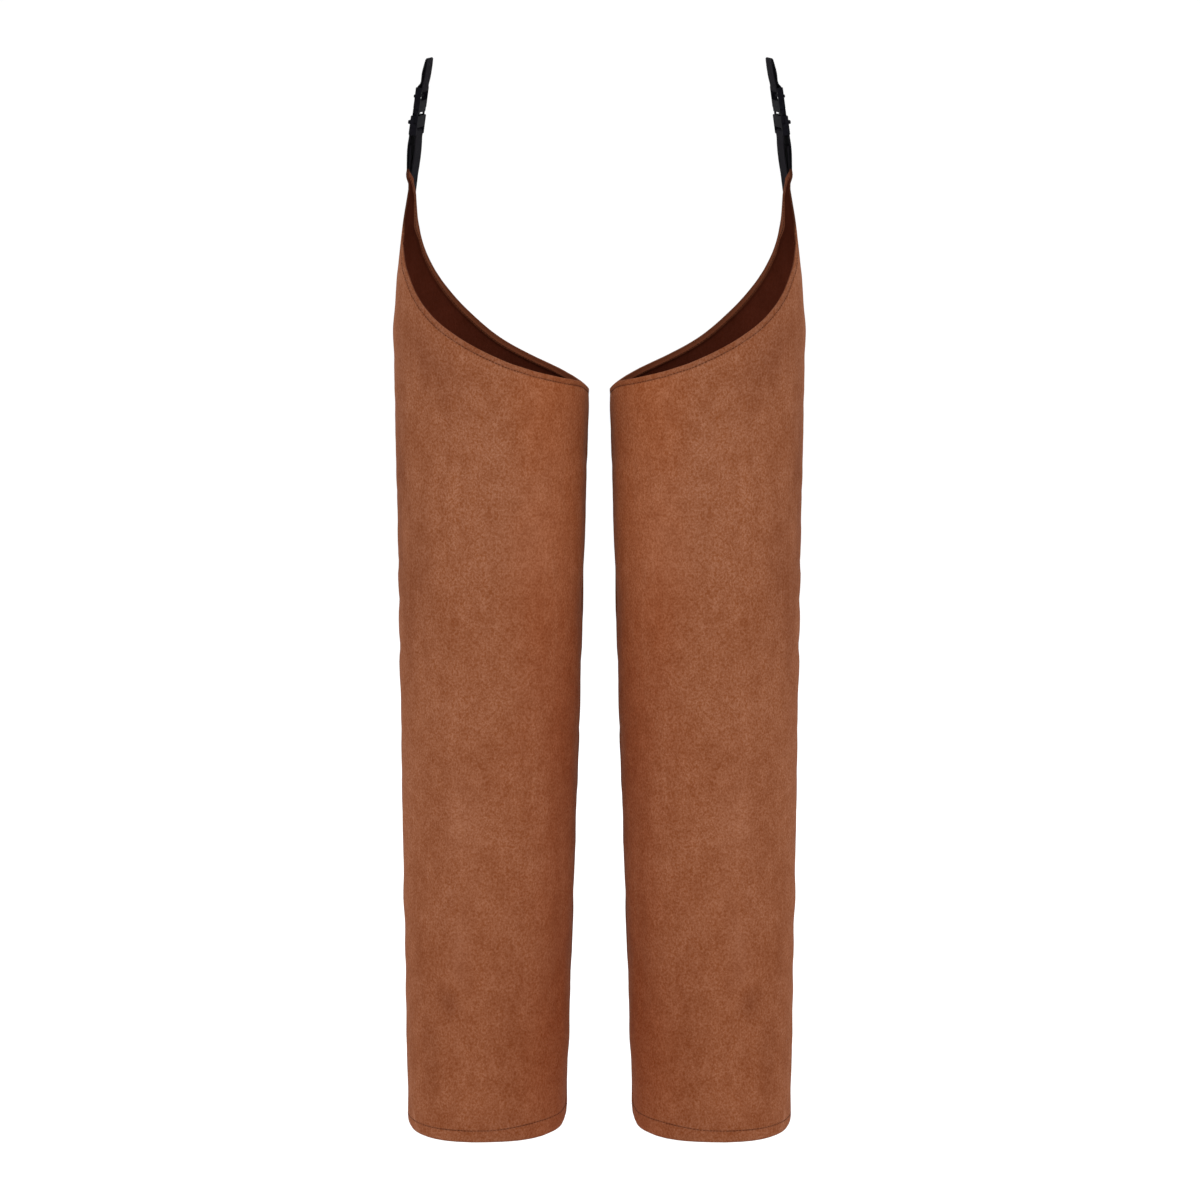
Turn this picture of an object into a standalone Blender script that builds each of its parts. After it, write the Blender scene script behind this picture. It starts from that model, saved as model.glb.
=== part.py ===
"""Pull-on suede chaps: two open leg tubes, each hung from the wearer's belt.

Every leg is a front and a back panel joined at an outseam and an inseam.  The back panel
rises to a hip point, and on the hip point hangs a webbing strap, a side-release buckle and
a belt loop.  The garment is shown as it is worn, with nobody in it.

Metres, +Z up, the front faces -Y and the wearer's left is +X.  The origin lies on the belt
line, midway between the two belt loops.
"""
import math
from collections import namedtuple

import bmesh
import bpy
from mathutils import Matrix, Vector

# ---------------------------------------------------------------- driving dimensions
OBJECT_NAME = "suede_chaps"
HEM_HEIGHT = -1.0448          # the hem, below the belt line
CLOTH = 0.0015                # one layer of suede
TURN_IN = 0.0014              # what a turned-in edge adds on the inside
HEM_FOLD = 0.0115             # width of the turned hem
HEM_ROLL = 0.0030             # how far the hem's edge rolls in
HEM_TILT = 0.0010             # the hem is higher on the inner side by twice this
RIM_FOLD = 0.0070             # width of the turned top edge
FOLD_STEP = 0.0010            # the turned edge thins out over this width
SEAM_GAP = 0.0003             # between two pieces that are sewn together
SHARP_EDGE = 40.0             # degrees between faces that meet in a crisp edge
PROBE_AROUND = 0.5            # degrees and metres used to find the surface's direction
PROBE_HEIGHT = 0.002
OUTSEAM_AROUND = -5.0         # degrees round the leg, 0 is the side-most line
INSEAM_AROUND = 180.0
MEAN_RADIUS = 0.092           # turns a length round the leg into degrees
LEAST_RADIUS = 0.078
TIP_CURL = 0.0043             # the hip point's front corner curls out by this
TIP_CURL_AROUND = 10.0        # degrees, where the curl begins
TIP_CURL_SPAN = 4.5           # and how far it takes to grow
TIP_CURL_FOOT = -0.1118       # the height where it begins
TIP_CURL_RISE = 0.0120

# One row for each level: side_x is how far the side-most line stands from the middle.
Section = namedtuple("Section", "height side_x half_width half_depth centre_y fullness")
LEG_SECTIONS = (
    Section(0.030, 0.1640, 0.0960, 0.1040, 0.0030, 2.00),
    Section(-0.110, 0.1848, 0.0965, 0.1040, 0.0030, 2.00),
    Section(-0.150, 0.1907, 0.0965, 0.1030, 0.0030, 2.00),
    Section(-0.200, 0.1963, 0.0960, 0.1015, 0.0020, 2.05),
    Section(-0.250, 0.1999, 0.0955, 0.1000, 0.0010, 2.10),
    Section(-0.307, 0.1996, 0.0948, 0.0980, 0.0000, 2.10),
    Section(-0.450, 0.1972, 0.0918, 0.0940, -0.0020, 2.10),
    Section(-0.600, 0.1958, 0.0887, 0.0895, -0.0030, 2.10),
    Section(-0.750, 0.1942, 0.0855, 0.0865, 0.0020, 2.15),
    Section(-0.900, 0.1921, 0.0818, 0.0810, 0.0040, 2.20),
    Section(HEM_HEIGHT, 0.1904, 0.0785, 0.0770, 0.0020, 2.20),
)

# The cut of the top edge: degrees round the leg (plus is the back) and height.
Rim = namedtuple("Rim", "around height")
FRONT_RIM = (
    Rim(OUTSEAM_AROUND, -0.1540),
    Rim(-10.0, -0.1630),
    Rim(-16.0, -0.1728),
    Rim(-22.0, -0.1828),
    Rim(-29.0, -0.1930),
    Rim(-38.0, -0.2068),
    Rim(-47.0, -0.2184),
    Rim(-56.0, -0.2290),
    Rim(-65.0, -0.2385),
    Rim(-82.0, -0.2550),
    Rim(-100.0, -0.2696),
    Rim(-109.0, -0.2755),
    Rim(-118.0, -0.2803),
    Rim(-138.0, -0.2887),
    Rim(-155.0, -0.2945),
    Rim(-168.0, -0.3010),
    Rim(-INSEAM_AROUND, -0.3070),
)
BACK_RIM = (
    Rim(5.0, -0.0945),
    Rim(7.0, -0.0972),
    Rim(8.8, -0.1010),
    Rim(11.2, -0.1052),
    Rim(14.2, -0.1096),
    Rim(17.0, -0.1133),
    Rim(19.2, -0.1172),
    Rim(20.9, -0.1220),
    Rim(23.9, -0.1318),
    Rim(27.3, -0.1431),
    Rim(30.8, -0.1525),
    Rim(39.8, -0.1765),
    Rim(56.2, -0.2095),
    Rim(75.0, -0.2420),
    Rim(94.0, -0.2690),
    Rim(114.0, -0.2865),
    Rim(137.0, -0.2990),
    Rim(158.0, -0.3060),
    Rim(INSEAM_AROUND, -0.3070),
)
# The hip point's front edge, from the top of the outseam up to its front corner.
HIP_FRONT_EDGE = (
    Rim(OUTSEAM_AROUND, -0.1540),
    Rim(-1.0, -0.1400),
    Rim(2.2, -0.1260),
    Rim(3.9, -0.1150),
    Rim(4.7, -0.1045),
    Rim(5.0, -0.0945),
)

# Soft folds: place, half size across and along, depth (minus is a ridge), lean in m per m.
Fold = namedtuple("Fold", "around height across along depth lean")
LEG_FOLDS = (
    Fold(-146.0, -0.860, 0.016, 0.150, 0.0018, 0.00),
    Fold(-118.0, -0.900, 0.018, 0.120, -0.0012, 0.03),
    Fold(-40.0, -0.640, 0.020, 0.140, 0.0012, -0.05),
    Fold(-62.0, -0.420, 0.024, 0.110, 0.0010, 0.10),
    Fold(62.0, -0.600, 0.016, 0.060, 0.0034, 0.55),
    Fold(112.0, -0.635, 0.015, 0.055, 0.0032, -0.60),
    Fold(88.0, -0.690, 0.020, 0.060, 0.0026, 0.15),
    Fold(74.0, -0.480, 0.022, 0.090, 0.0024, -0.12),
    Fold(128.0, -0.800, 0.018, 0.110, 0.0026, 0.05),
    Fold(52.0, -0.860, 0.018, 0.120, 0.0022, -0.05),
    Fold(92.0, -0.940, 0.020, 0.070, -0.0018, 0.00),
)

# How finely the panels are divided.
FRONT_COLUMNS = 15
BACK_COLUMNS = 17
LOWER_ROWS = 15
UPPER_ROWS = 9
UPPER_START = -0.375          # above this level the rows follow the top edge
COLUMN_BLEND_START = -0.450   # above this level the columns drift to their places on it
UPPER_SPACING_POWER = 1.35    # rows lie closer towards the top edge
HIP_CROWDING = 1.28           # the back panel's columns lie closer towards the hip point
LONGEST_RIM_DROP = 0.016      # how far down a turned top edge may reach where it is steep

# The hanger: webbing, side-release buckle and belt loop, measured from the hip point.
HANGER_FOOT_HEIGHT = -0.112   # the level where "up" is zero
HANGER_AROUND_FOOT = 18.0     # degrees round the leg at the foot
HANGER_AROUND_TOP = 15.0      # and at the belt line
SURFACE_PER_HEIGHT = 1.011    # the surface leans in, so it is longer than it is high
WEBBING_WIDTH = 0.022
WEBBING = 0.0012              # thickness of the webbing
WEBBING_STRIPS = 4            # faces across the webbing
FLAT_FROM = 0.018             # below this the webbing has the curve of the panel
FLAT_TO = 0.040               # above this it is flat

BAR_RADIUS = 0.0016
SOCKET_BAR = (0.0038, 0.0516)     # out and up of the bar that the lower strap goes round
SOCKET_LOOP_RADIUS = 0.0032
PLUG_BAR = (0.0034, 0.0945)       # out and up of the bar inside the belt loop
PLUG_LOOP_RADIUS = 0.0028
ARC_FACES = 8                     # round a bar
TAIL_FACES = 4                    # round the lower strap's turned tail
TAIL_RADIUS = 0.0008

# The middle of the webbing: up along the inner layer, then (out, up) down the outer one.
STRAP_INNER_UP = (-0.0235, -0.0145, -0.0055, 0.004, 0.011, 0.018, 0.025, 0.032, 0.040, 0.047)
STRAP_OUTER = ((0.0070, 0.0460), (0.0072, 0.0400), (0.0069, 0.0320), (0.0062, 0.0240))
STRAP_TAIL = (0.0040, 0.0122)
STRAP_TAIL_END = ((0.0036, 0.0210), (0.0043, 0.0300), (0.0050, 0.0390))
LOOP_INNER_UP = (0.124, 0.119, 0.112, 0.105, 0.099)
LOOP_OUTER = (
    (0.0046, 0.0976), (0.0028, 0.1004), (0.0024, 0.1030), (0.0025, 0.1055), (0.0026, 0.1100),
    (0.0025, 0.1140), (0.0022, 0.1175), (0.0021, 0.1215), (0.0019, 0.1240), (0.0012, 0.1252),
)

# Colours, linear.
SUEDE_COLOUR = (0.250, 0.088, 0.040, 1.0)
WEBBING_COLOUR = (0.012, 0.012, 0.014, 1.0)
PLASTIC_COLOUR = (0.009, 0.009, 0.011, 1.0)


# ---------------------------------------------------------------- small helpers
def clear_scene():
    for old in list(bpy.data.objects):
        bpy.data.objects.remove(old, do_unlink=True)


def new_collection(name):
    collection = bpy.data.collections.new(name)
    bpy.context.scene.collection.children.link(collection)
    return collection


def new_material(name, colour, roughness):
    material = bpy.data.materials.new(name)
    material.use_nodes = True
    shader = material.node_tree.nodes["Principled BSDF"]
    shader.inputs["Base Color"].default_value = colour
    shader.inputs["Roughness"].default_value = roughness
    shader.inputs["Metallic"].default_value = 0.0
    material.diffuse_color = colour
    return material


def move_to(obj, collection):
    for old in list(obj.users_collection):
        old.objects.unlink(obj)
    collection.objects.link(obj)


def smooth_step(t):
    t = min(max(t, 0.0), 1.0)
    return t * t * (3.0 - 2.0 * t)


def mix(a, b, t):
    return a + (b - a) * t


def curve_value(xs, ys, x):
    """Height of a smooth curve through the points, with xs rising."""
    if x <= xs[0]:
        return ys[0]
    if x >= xs[-1]:
        return ys[-1]
    k = 0
    while xs[k + 1] < x:
        k += 1

    def slope(i):
        before = max(i - 1, 0)
        after = min(i + 1, len(xs) - 1)
        return (ys[after] - ys[before]) / (xs[after] - xs[before])

    span = xs[k + 1] - xs[k]
    t = (x - xs[k]) / span
    rise = (2 * t ** 3 - 3 * t ** 2 + 1) * ys[k] + (3 * t ** 2 - 2 * t ** 3) * ys[k + 1]
    bend = (t ** 3 - 2 * t ** 2 + t) * slope(k) + (t ** 3 - t ** 2) * slope(k + 1)
    return rise + bend * span


# ---------------------------------------------------------------- the leg's outer surface
SECTION_HEIGHTS = [row.height for row in reversed(LEG_SECTIONS)]
SECTION_VALUES = {
    field: [getattr(row, field) for row in reversed(LEG_SECTIONS)]
    for field in Section._fields[1:]
}


def section_at(height):
    return {
        field: curve_value(SECTION_HEIGHTS, values, height)
        for field, values in SECTION_VALUES.items()
    }


def plain_leg_point(around, height):
    """A point of the smooth tube, as (distance from the middle, y, z)."""
    section = section_at(height)
    angle = math.radians(around)
    wide = abs(math.cos(angle)) / section["half_width"]
    deep = abs(math.sin(angle)) / section["half_depth"]
    power = section["fullness"]
    radius = (wide ** power + deep ** power) ** (-1.0 / power)
    centre_x = section["side_x"] - section["half_width"]
    return Vector((
        centre_x + radius * math.cos(angle),
        section["centre_y"] + radius * math.sin(angle),
        height,
    ))


def leg_normal(around, height):
    """Outward direction of the smooth tube."""
    ahead = plain_leg_point(around + PROBE_AROUND, height)
    behind = plain_leg_point(around - PROBE_AROUND, height)
    above = plain_leg_point(around, height + PROBE_HEIGHT)
    below = plain_leg_point(around, height - PROBE_HEIGHT)
    return (ahead - behind).cross(above - below).normalized()


def fold_depth(around, height):
    """How far the cloth lies inside the smooth tube."""
    depth = 0.0
    for fold in LEG_FOLDS:
        rise = height - fold.height
        turn = (around - fold.around + 180.0) % 360.0 - 180.0
        across = math.radians(turn) * MEAN_RADIUS - fold.lean * rise
        spread = (across / fold.across) ** 2 + (rise / fold.along) ** 2
        depth += fold.depth * math.exp(-spread)
    return depth


def hem_level(around):
    """The hem lies square to the leg, which leans out."""
    return HEM_HEIGHT - HEM_TILT * math.cos(math.radians(around))


def hem_roll(around, height):
    """How far the cloth rolls in at the turned hem."""
    part = (height - hem_level(around)) / HEM_FOLD
    return HEM_ROLL * max(1.0 - part, 0.0) ** 2


def tip_curl(around, height):
    """How far the front corner of the hip point stands out."""
    forward = smooth_step((TIP_CURL_AROUND - around) / TIP_CURL_SPAN)
    return TIP_CURL * forward * smooth_step((height - TIP_CURL_FOOT) / TIP_CURL_RISE)


def leg_point(around, height, inside=0.0):
    """A point of the panel, a given depth inside its outer face."""
    normal = leg_normal(around, height)
    depth = fold_depth(around, height) + hem_roll(around, height) + inside
    depth -= tip_curl(around, height)
    return plain_leg_point(around, height) - normal * depth


def place(side, point):
    """From (distance from the middle, y, z) to the world; side is -1 or +1."""
    return Vector((side * point.x, point.y, point.z))


# ---------------------------------------------------------------- panels
Column = namedtuple("Column", "rim_around rim_height low_around drop")


def rim_stations(rim, count, power):
    """Places along a smooth top edge, each with its steepness; power crowds the start."""
    lengths = [0.0]
    for a, b in zip(rim, rim[1:]):
        flat = math.radians(b.around - a.around) * MEAN_RADIUS
        lengths.append(lengths[-1] + math.hypot(flat, b.height - a.height))
    arounds = [row.around for row in rim]
    heights = [row.height for row in rim]
    stations = []
    for k in range(count + 1):
        s = lengths[-1] * (k / count) ** power
        before = max(s - PROBE_HEIGHT, 0.0)
        after = min(s + PROBE_HEIGHT, lengths[-1])
        climb = curve_value(lengths, heights, after) - curve_value(lengths, heights, before)
        turn = curve_value(lengths, arounds, after) - curve_value(lengths, arounds, before)
        steepness = climb / (math.radians(turn) * MEAN_RADIUS)
        stations.append((curve_value(lengths, arounds, s), curve_value(lengths, heights, s), steepness))
    return stations


def panel_columns(rim, count, power, start_around, end_around):
    columns = []
    for k, (around, height, steepness) in enumerate(rim_stations(rim, count, power)):
        drop = min(RIM_FOLD * math.sqrt(1.0 + steepness ** 2), LONGEST_RIM_DROP)
        low_around = mix(start_around, end_around, k / count)
        columns.append(Column(around, height, low_around, drop))
    return columns


def panel_rows(column):
    """Height and wall thickness at every row of one column, from the hem to the rim."""
    doubled = CLOTH + TURN_IN
    hem = hem_level(column.low_around)
    rows = [
        (hem, doubled),
        (hem + HEM_FOLD * 0.4, doubled),
        (hem + HEM_FOLD, doubled),
        (hem + HEM_FOLD + FOLD_STEP, CLOTH),
    ]
    base = rows[-1][0]
    for k in range(1, LOWER_ROWS + 1):
        rows.append((mix(base, UPPER_START, k / LOWER_ROWS), CLOTH))
    fold_end = column.rim_height - column.drop
    for k in range(1, UPPER_ROWS + 1):
        part = 1.0 - (1.0 - k / UPPER_ROWS) ** UPPER_SPACING_POWER
        rows.append((mix(UPPER_START, fold_end - FOLD_STEP, part), CLOTH))
    rows.append((fold_end, doubled))
    rows.append((column.rim_height, doubled))
    return rows


def hip_edge_around(height):
    """The front boundary of the back panel."""
    heights = [row.height for row in HIP_FRONT_EDGE]
    arounds = [row.around for row in HIP_FRONT_EDGE]
    return curve_value(heights, arounds, height)


def column_far_side(column):
    return math.copysign(INSEAM_AROUND, column.low_around - OUTSEAM_AROUND - 1e-6)


def column_around(column, height, edge_around):
    """Where a column lies at a height; edge_around gives the panel's first boundary."""
    far = column_far_side(column)
    edge = edge_around(height)
    rim_edge = edge_around(column.rim_height)
    low_part = (column.low_around - OUTSEAM_AROUND) / (far - OUTSEAM_AROUND)
    rim_part = (column.rim_around - rim_edge) / (far - rim_edge)
    drift = smooth_step((height - COLUMN_BLEND_START) / (column.rim_height - COLUMN_BLEND_START))
    return edge + mix(low_part, rim_part, drift) * (far - edge)


def within_seams(around, low, high):
    """Keeps the panel half a gap away from its seams, where the leg is narrowest too."""
    half_gap = math.degrees(SEAM_GAP * 0.5 / LEAST_RADIUS)
    return min(max(around, low + half_gap), high - half_gap)


def add_wall(name, side, lattice, collection, material):
    """A closed wall from a lattice of (outer point, inner point), columns by rows."""
    mesh = bpy.data.meshes.new(name)
    work = bmesh.new()
    outer = [[work.verts.new(place(side, pair[0])) for pair in column] for column in lattice]
    inner = [[work.verts.new(place(side, pair[1])) for pair in column] for column in lattice]
    last_column = len(lattice) - 1
    last_row = len(lattice[0]) - 1
    for i in range(last_column):
        for j in range(last_row):
            work.faces.new((outer[i][j], outer[i + 1][j], outer[i + 1][j + 1], outer[i][j + 1]))
            work.faces.new((inner[i][j], inner[i][j + 1], inner[i + 1][j + 1], inner[i + 1][j]))
    for i in range(last_column):
        for j in (0, last_row):
            work.faces.new((outer[i][j], outer[i + 1][j], inner[i + 1][j], inner[i][j]))
    for j in range(last_row):
        for i in (0, last_column):
            work.faces.new((outer[i][j], outer[i][j + 1], inner[i][j + 1], inner[i][j]))
    bmesh.ops.recalc_face_normals(work, faces=work.faces)
    work.to_mesh(mesh)
    work.free()
    mesh.materials.append(material)
    mesh.shade_smooth()
    mesh.set_sharp_from_angle(angle=math.radians(SHARP_EDGE))
    collection.objects.link(bpy.data.objects.new(name, mesh))


def add_panel(name, side, columns, edge_around, low, high, collection, material):
    lattice = []
    for column in columns:
        wall = []
        for height, thickness in panel_rows(column):
            around = within_seams(column_around(column, height, edge_around), low, high)
            wall.append((leg_point(around, height), leg_point(around, height, thickness)))
        lattice.append(wall)
    add_wall(name, side, lattice, collection, material)


def add_leg(name, side, collection, material):
    front = panel_columns(FRONT_RIM, FRONT_COLUMNS, 1.0, OUTSEAM_AROUND, -INSEAM_AROUND)
    back = panel_columns(BACK_RIM, BACK_COLUMNS, HIP_CROWDING, OUTSEAM_AROUND, INSEAM_AROUND)
    add_panel(
        name + "_leg_front", side, front, lambda height: OUTSEAM_AROUND,
        -INSEAM_AROUND, OUTSEAM_AROUND, collection, material,
    )
    add_panel(
        name + "_leg_back", side, back, hip_edge_around,
        OUTSEAM_AROUND, INSEAM_AROUND, collection, material,
    )


# ---------------------------------------------------------------- hanger
def hanger_centre(up):
    """Degrees round the leg and height of the hanger's centre line."""
    height = HANGER_FOOT_HEIGHT + up / SURFACE_PER_HEIGHT
    part = (height - HANGER_FOOT_HEIGHT) / (0.0 - HANGER_FOOT_HEIGHT)
    return mix(HANGER_AROUND_FOOT, HANGER_AROUND_TOP, part), height


def hanger_point(across, up, out):
    """A point of the hanger: across to the back, up the strap, out from the cloth."""
    around, height = hanger_centre(up)
    centre = plain_leg_point(around, height)
    normal = leg_normal(around, height)
    along = Vector((-normal.y, normal.x, 0.0)).normalized()
    flat = centre + along * across + normal * (SEAM_GAP + out)
    turned = around + math.degrees(across / section_at(height)["half_width"])
    curved = plain_leg_point(turned, height) + leg_normal(turned, height) * (SEAM_GAP + out)
    return mix(curved, flat, smooth_step((up - FLAT_FROM) / (FLAT_TO - FLAT_FROM)))


def hanger_frame(side, up):
    """Matrix at the hanger's centre line: x across, y out of the cloth, z up the strap."""
    step = 0.005
    origin = place(side, hanger_point(0.0, up, 0.0))
    rise = (place(side, hanger_point(0.0, up + step, 0.0)) - origin).normalized()
    out = (place(side, hanger_point(0.0, up, step)) - origin).normalized()
    across = out.cross(rise).normalized()
    out = rise.cross(across).normalized()
    frame = Matrix((across, out, rise)).transposed().to_4x4()
    frame.translation = origin
    return frame @ Matrix.Translation((0.0, 0.0, -up))


def arc(centre, radius, start, end, count):
    """Points (out, up) on an arc, angles in degrees from the out direction."""
    points = []
    for k in range(count + 1):
        angle = math.radians(mix(start, end, k / count))
        points.append((centre[0] + radius * math.cos(angle), centre[1] + radius * math.sin(angle)))
    return points


def add_webbing(name, side, path, closed, collection, material):
    """Webbing that follows a path of (out, up) points through its middle."""
    count = len(path)
    faces_out = []
    for k in range(count):
        before = path[(k - 1) % count] if closed else path[max(k - 1, 0)]
        after = path[(k + 1) % count] if closed else path[min(k + 1, count - 1)]
        run = Vector((after[0] - before[0], after[1] - before[1])).normalized()
        faces_out.append(Vector((-run.y, run.x)) * WEBBING * 0.5)
    rings = []
    for k in range(count):
        one = []
        two = []
        for strip in range(WEBBING_STRIPS + 1):
            across = mix(-WEBBING_WIDTH, WEBBING_WIDTH, strip / WEBBING_STRIPS) * 0.5
            shift = faces_out[k]
            one.append(hanger_point(across, path[k][1] + shift.y, path[k][0] + shift.x))
            two.append(hanger_point(across, path[k][1] - shift.y, path[k][0] - shift.x))
        rings.append(one + two[::-1])
    mesh = bpy.data.meshes.new(name)
    work = bmesh.new()
    verts = [[work.verts.new(place(side, point)) for point in ring] for ring in rings]
    size = len(verts[0])
    last = count if closed else count - 1
    for k in range(last):
        here = verts[k]
        there = verts[(k + 1) % count]
        for j in range(size):
            nxt = (j + 1) % size
            work.faces.new((here[j], here[nxt], there[nxt], there[j]))
    if not closed:
        work.faces.new(verts[0])
        work.faces.new(verts[-1])
    bmesh.ops.recalc_face_normals(work, faces=work.faces)
    work.to_mesh(mesh)
    work.free()
    mesh.materials.append(material)
    mesh.shade_smooth()
    mesh.set_sharp_from_angle(angle=math.radians(SHARP_EDGE))
    collection.objects.link(bpy.data.objects.new(name, mesh))


def lower_strap_path():
    """Up the hip point, round the socket's bar, down outside it and turned under."""
    path = [(WEBBING * 0.5, up) for up in STRAP_INNER_UP]
    path += arc(SOCKET_BAR, SOCKET_LOOP_RADIUS, 180.0, 0.0, ARC_FACES)
    path += STRAP_OUTER
    path += arc(STRAP_TAIL, TAIL_RADIUS, 0.0, -180.0, TAIL_FACES)
    path += STRAP_TAIL_END
    return path


def belt_loop_path():
    """Round the plug's bar, in to the sewn neck, and out round the wearer's belt."""
    path = [(PLUG_BAR[0] - PLUG_LOOP_RADIUS, up) for up in LOOP_INNER_UP]
    path += arc(PLUG_BAR, PLUG_LOOP_RADIUS, 180.0, 360.0, ARC_FACES)
    path += LOOP_OUTER
    return path


Block = namedtuple("Block", "across out up bevel")      # three spans, and the edges' rounding


def add_block(name, frame, block, mirrored, collection):
    """A rounded box between its spans, in the hanger's frame."""
    spans = ((-block.across[1], -block.across[0]) if mirrored else block.across, block.out, block.up)
    bpy.ops.mesh.primitive_cube_add(size=1.0)
    obj = bpy.context.object
    obj.name = name
    size = Matrix.Diagonal([high - low for low, high in spans] + [1.0])
    obj.data.transform(size)
    centre = Matrix.Translation([(low + high) * 0.5 for low, high in spans])
    obj.matrix_world = frame @ centre
    if block.bevel:
        bevel = obj.modifiers.new("rounding", "BEVEL")
        bevel.width = block.bevel
        bevel.segments = 2
    move_to(obj, collection)
    return obj


def add_bar(name, frame, centre, reach, radius, collection):
    """A round bar across the hanger."""
    bpy.ops.mesh.primitive_cylinder_add(vertices=12, radius=radius, depth=reach)
    obj = bpy.context.object
    obj.name = name
    obj.matrix_world = (
        frame @ Matrix.Translation((0.0, centre[0], centre[1])) @ Matrix.Rotation(math.radians(90.0), 4, "Y")
    )
    move_to(obj, collection)
    return obj


def combine(target, helper, operation):
    helper.hide_render = True
    helper.display_type = "WIRE"
    boolean = target.modifiers.new(helper.name, "BOOLEAN")
    boolean.operation = operation
    boolean.object = helper


SOCKET_BODY = Block((-0.0148, 0.0148), (0.0000, 0.0073), (0.0500, 0.0690), 0.0008)
SOCKET_LIP = Block((-0.0090, 0.0090), (0.0052, 0.0073), (0.0678, 0.0752), 0.0)
SOCKET_RIB = Block((-0.0130, 0.0130), (0.0060, 0.0099), (0.0602, 0.0640), 0.0009)
SOCKET_STRAP_SLOT = Block((-0.0118, 0.0118), (-0.0010, 0.0090), (0.0464, 0.0576), 0.0)
SOCKET_POCKET = Block((-0.0134, 0.0134), (0.0009, 0.0034), (0.0592, 0.0720), 0.0)
SOCKET_WINDOW = Block((0.0120, 0.0170), (0.0009, 0.0034), (0.0612, 0.0668), 0.0)

PLUG_BODY = Block((-0.0138, 0.0138), (0.0004, 0.0064), (0.0757, 0.0968), 0.0009)
PLUG_FOOT = Block((-0.0126, 0.0126), (0.0007, 0.0048), (0.0722, 0.0766), 0.0)
PLUG_STRAP_SLOT = Block((-0.0116, 0.0116), (-0.0010, 0.0090), (0.0838, 0.0990), 0.0)
PLUG_LADDER = Block((-0.0130, 0.0130), (0.0030, 0.0076), (0.0864, 0.0894), 0.0007)
PLUG_PRONG = Block((0.0106, 0.0130), (0.0013, 0.0030), (0.0604, 0.0770), 0.0)
PLUG_BARB = Block((0.0120, 0.0151), (0.0013, 0.0030), (0.0620, 0.0667), 0.0)


def add_socket(name, side, collection, helpers, material):
    """The half of the buckle that the lower strap holds."""
    frame = hanger_frame(side, 0.060)
    body = add_block(name, frame, SOCKET_BODY, False, collection)
    body.data.materials.append(material)
    rib = add_block(name + "_rib", frame, SOCKET_RIB, False, helpers)
    lip = add_block(name + "_lip", frame, SOCKET_LIP, False, helpers)
    slot = add_block(name + "_slot", frame, SOCKET_STRAP_SLOT, False, helpers)
    pocket = add_block(name + "_pocket", frame, SOCKET_POCKET, False, helpers)
    bar = add_bar(name + "_bar", frame, SOCKET_BAR, 0.0260, BAR_RADIUS, helpers)
    combine(body, rib, "UNION")
    combine(body, lip, "UNION")
    combine(body, slot, "DIFFERENCE")
    combine(body, pocket, "DIFFERENCE")
    for mirrored in (False, True):
        label = "_window_b" if mirrored else "_window_a"
        window = add_block(name + label, frame, SOCKET_WINDOW, mirrored, helpers)
        combine(body, window, "DIFFERENCE")
    combine(body, bar, "UNION")
    return body


def add_plug(name, side, collection, helpers, material):
    """The half of the buckle that the belt loop holds, pushed into the socket."""
    frame = hanger_frame(side, 0.080)
    body = add_block(name, frame, PLUG_BODY, False, collection)
    body.data.materials.append(material)
    foot = add_block(name + "_foot", frame, PLUG_FOOT, False, helpers)
    slot = add_block(name + "_slot", frame, PLUG_STRAP_SLOT, False, helpers)
    ladder = add_block(name + "_ladder", frame, PLUG_LADDER, False, helpers)
    bar = add_bar(name + "_bar", frame, PLUG_BAR, 0.0256, BAR_RADIUS, helpers)
    combine(body, foot, "UNION")
    combine(body, slot, "DIFFERENCE")
    combine(body, ladder, "UNION")
    combine(body, bar, "UNION")
    for mirrored in (False, True):
        label = "_b" if mirrored else "_a"
        prong = add_block(name + "_prong" + label, frame, PLUG_PRONG, mirrored, helpers)
        barb = add_block(name + "_barb" + label, frame, PLUG_BARB, mirrored, helpers)
        combine(body, prong, "UNION")
        combine(body, barb, "UNION")
    return body


def add_hanger(name, side, collection, helpers, webbing, plastic):
    add_webbing(name + "_lower_strap", side, lower_strap_path(), False, collection, webbing)
    add_socket(name + "_buckle_socket", side, collection, helpers, plastic)
    add_plug(name + "_buckle_plug", side, collection, helpers, plastic)
    add_webbing(name + "_belt_loop", side, belt_loop_path(), True, collection, webbing)


# ---------------------------------------------------------------- the whole garment
def main():
    clear_scene()
    parts = new_collection(OBJECT_NAME)
    helpers = new_collection("cutters")
    suede = new_material("suede", SUEDE_COLOUR, 0.95)
    webbing = new_material("webbing", WEBBING_COLOUR, 0.75)
    plastic = new_material("plastic", PLASTIC_COLOUR, 0.45)
    for name, side in (("right", -1.0), ("left", 1.0)):
        add_leg(name, side, parts, suede)
        add_hanger(name, side, parts, helpers, webbing, plastic)


main()
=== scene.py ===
"""Looks of the suede chaps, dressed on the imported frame.

The suede panels and the webbing are thin shells worked out from nearly the same sizes as
their solids; the buckles are the frame's own solids with a moulded plastic on them.
"""

import math

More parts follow.
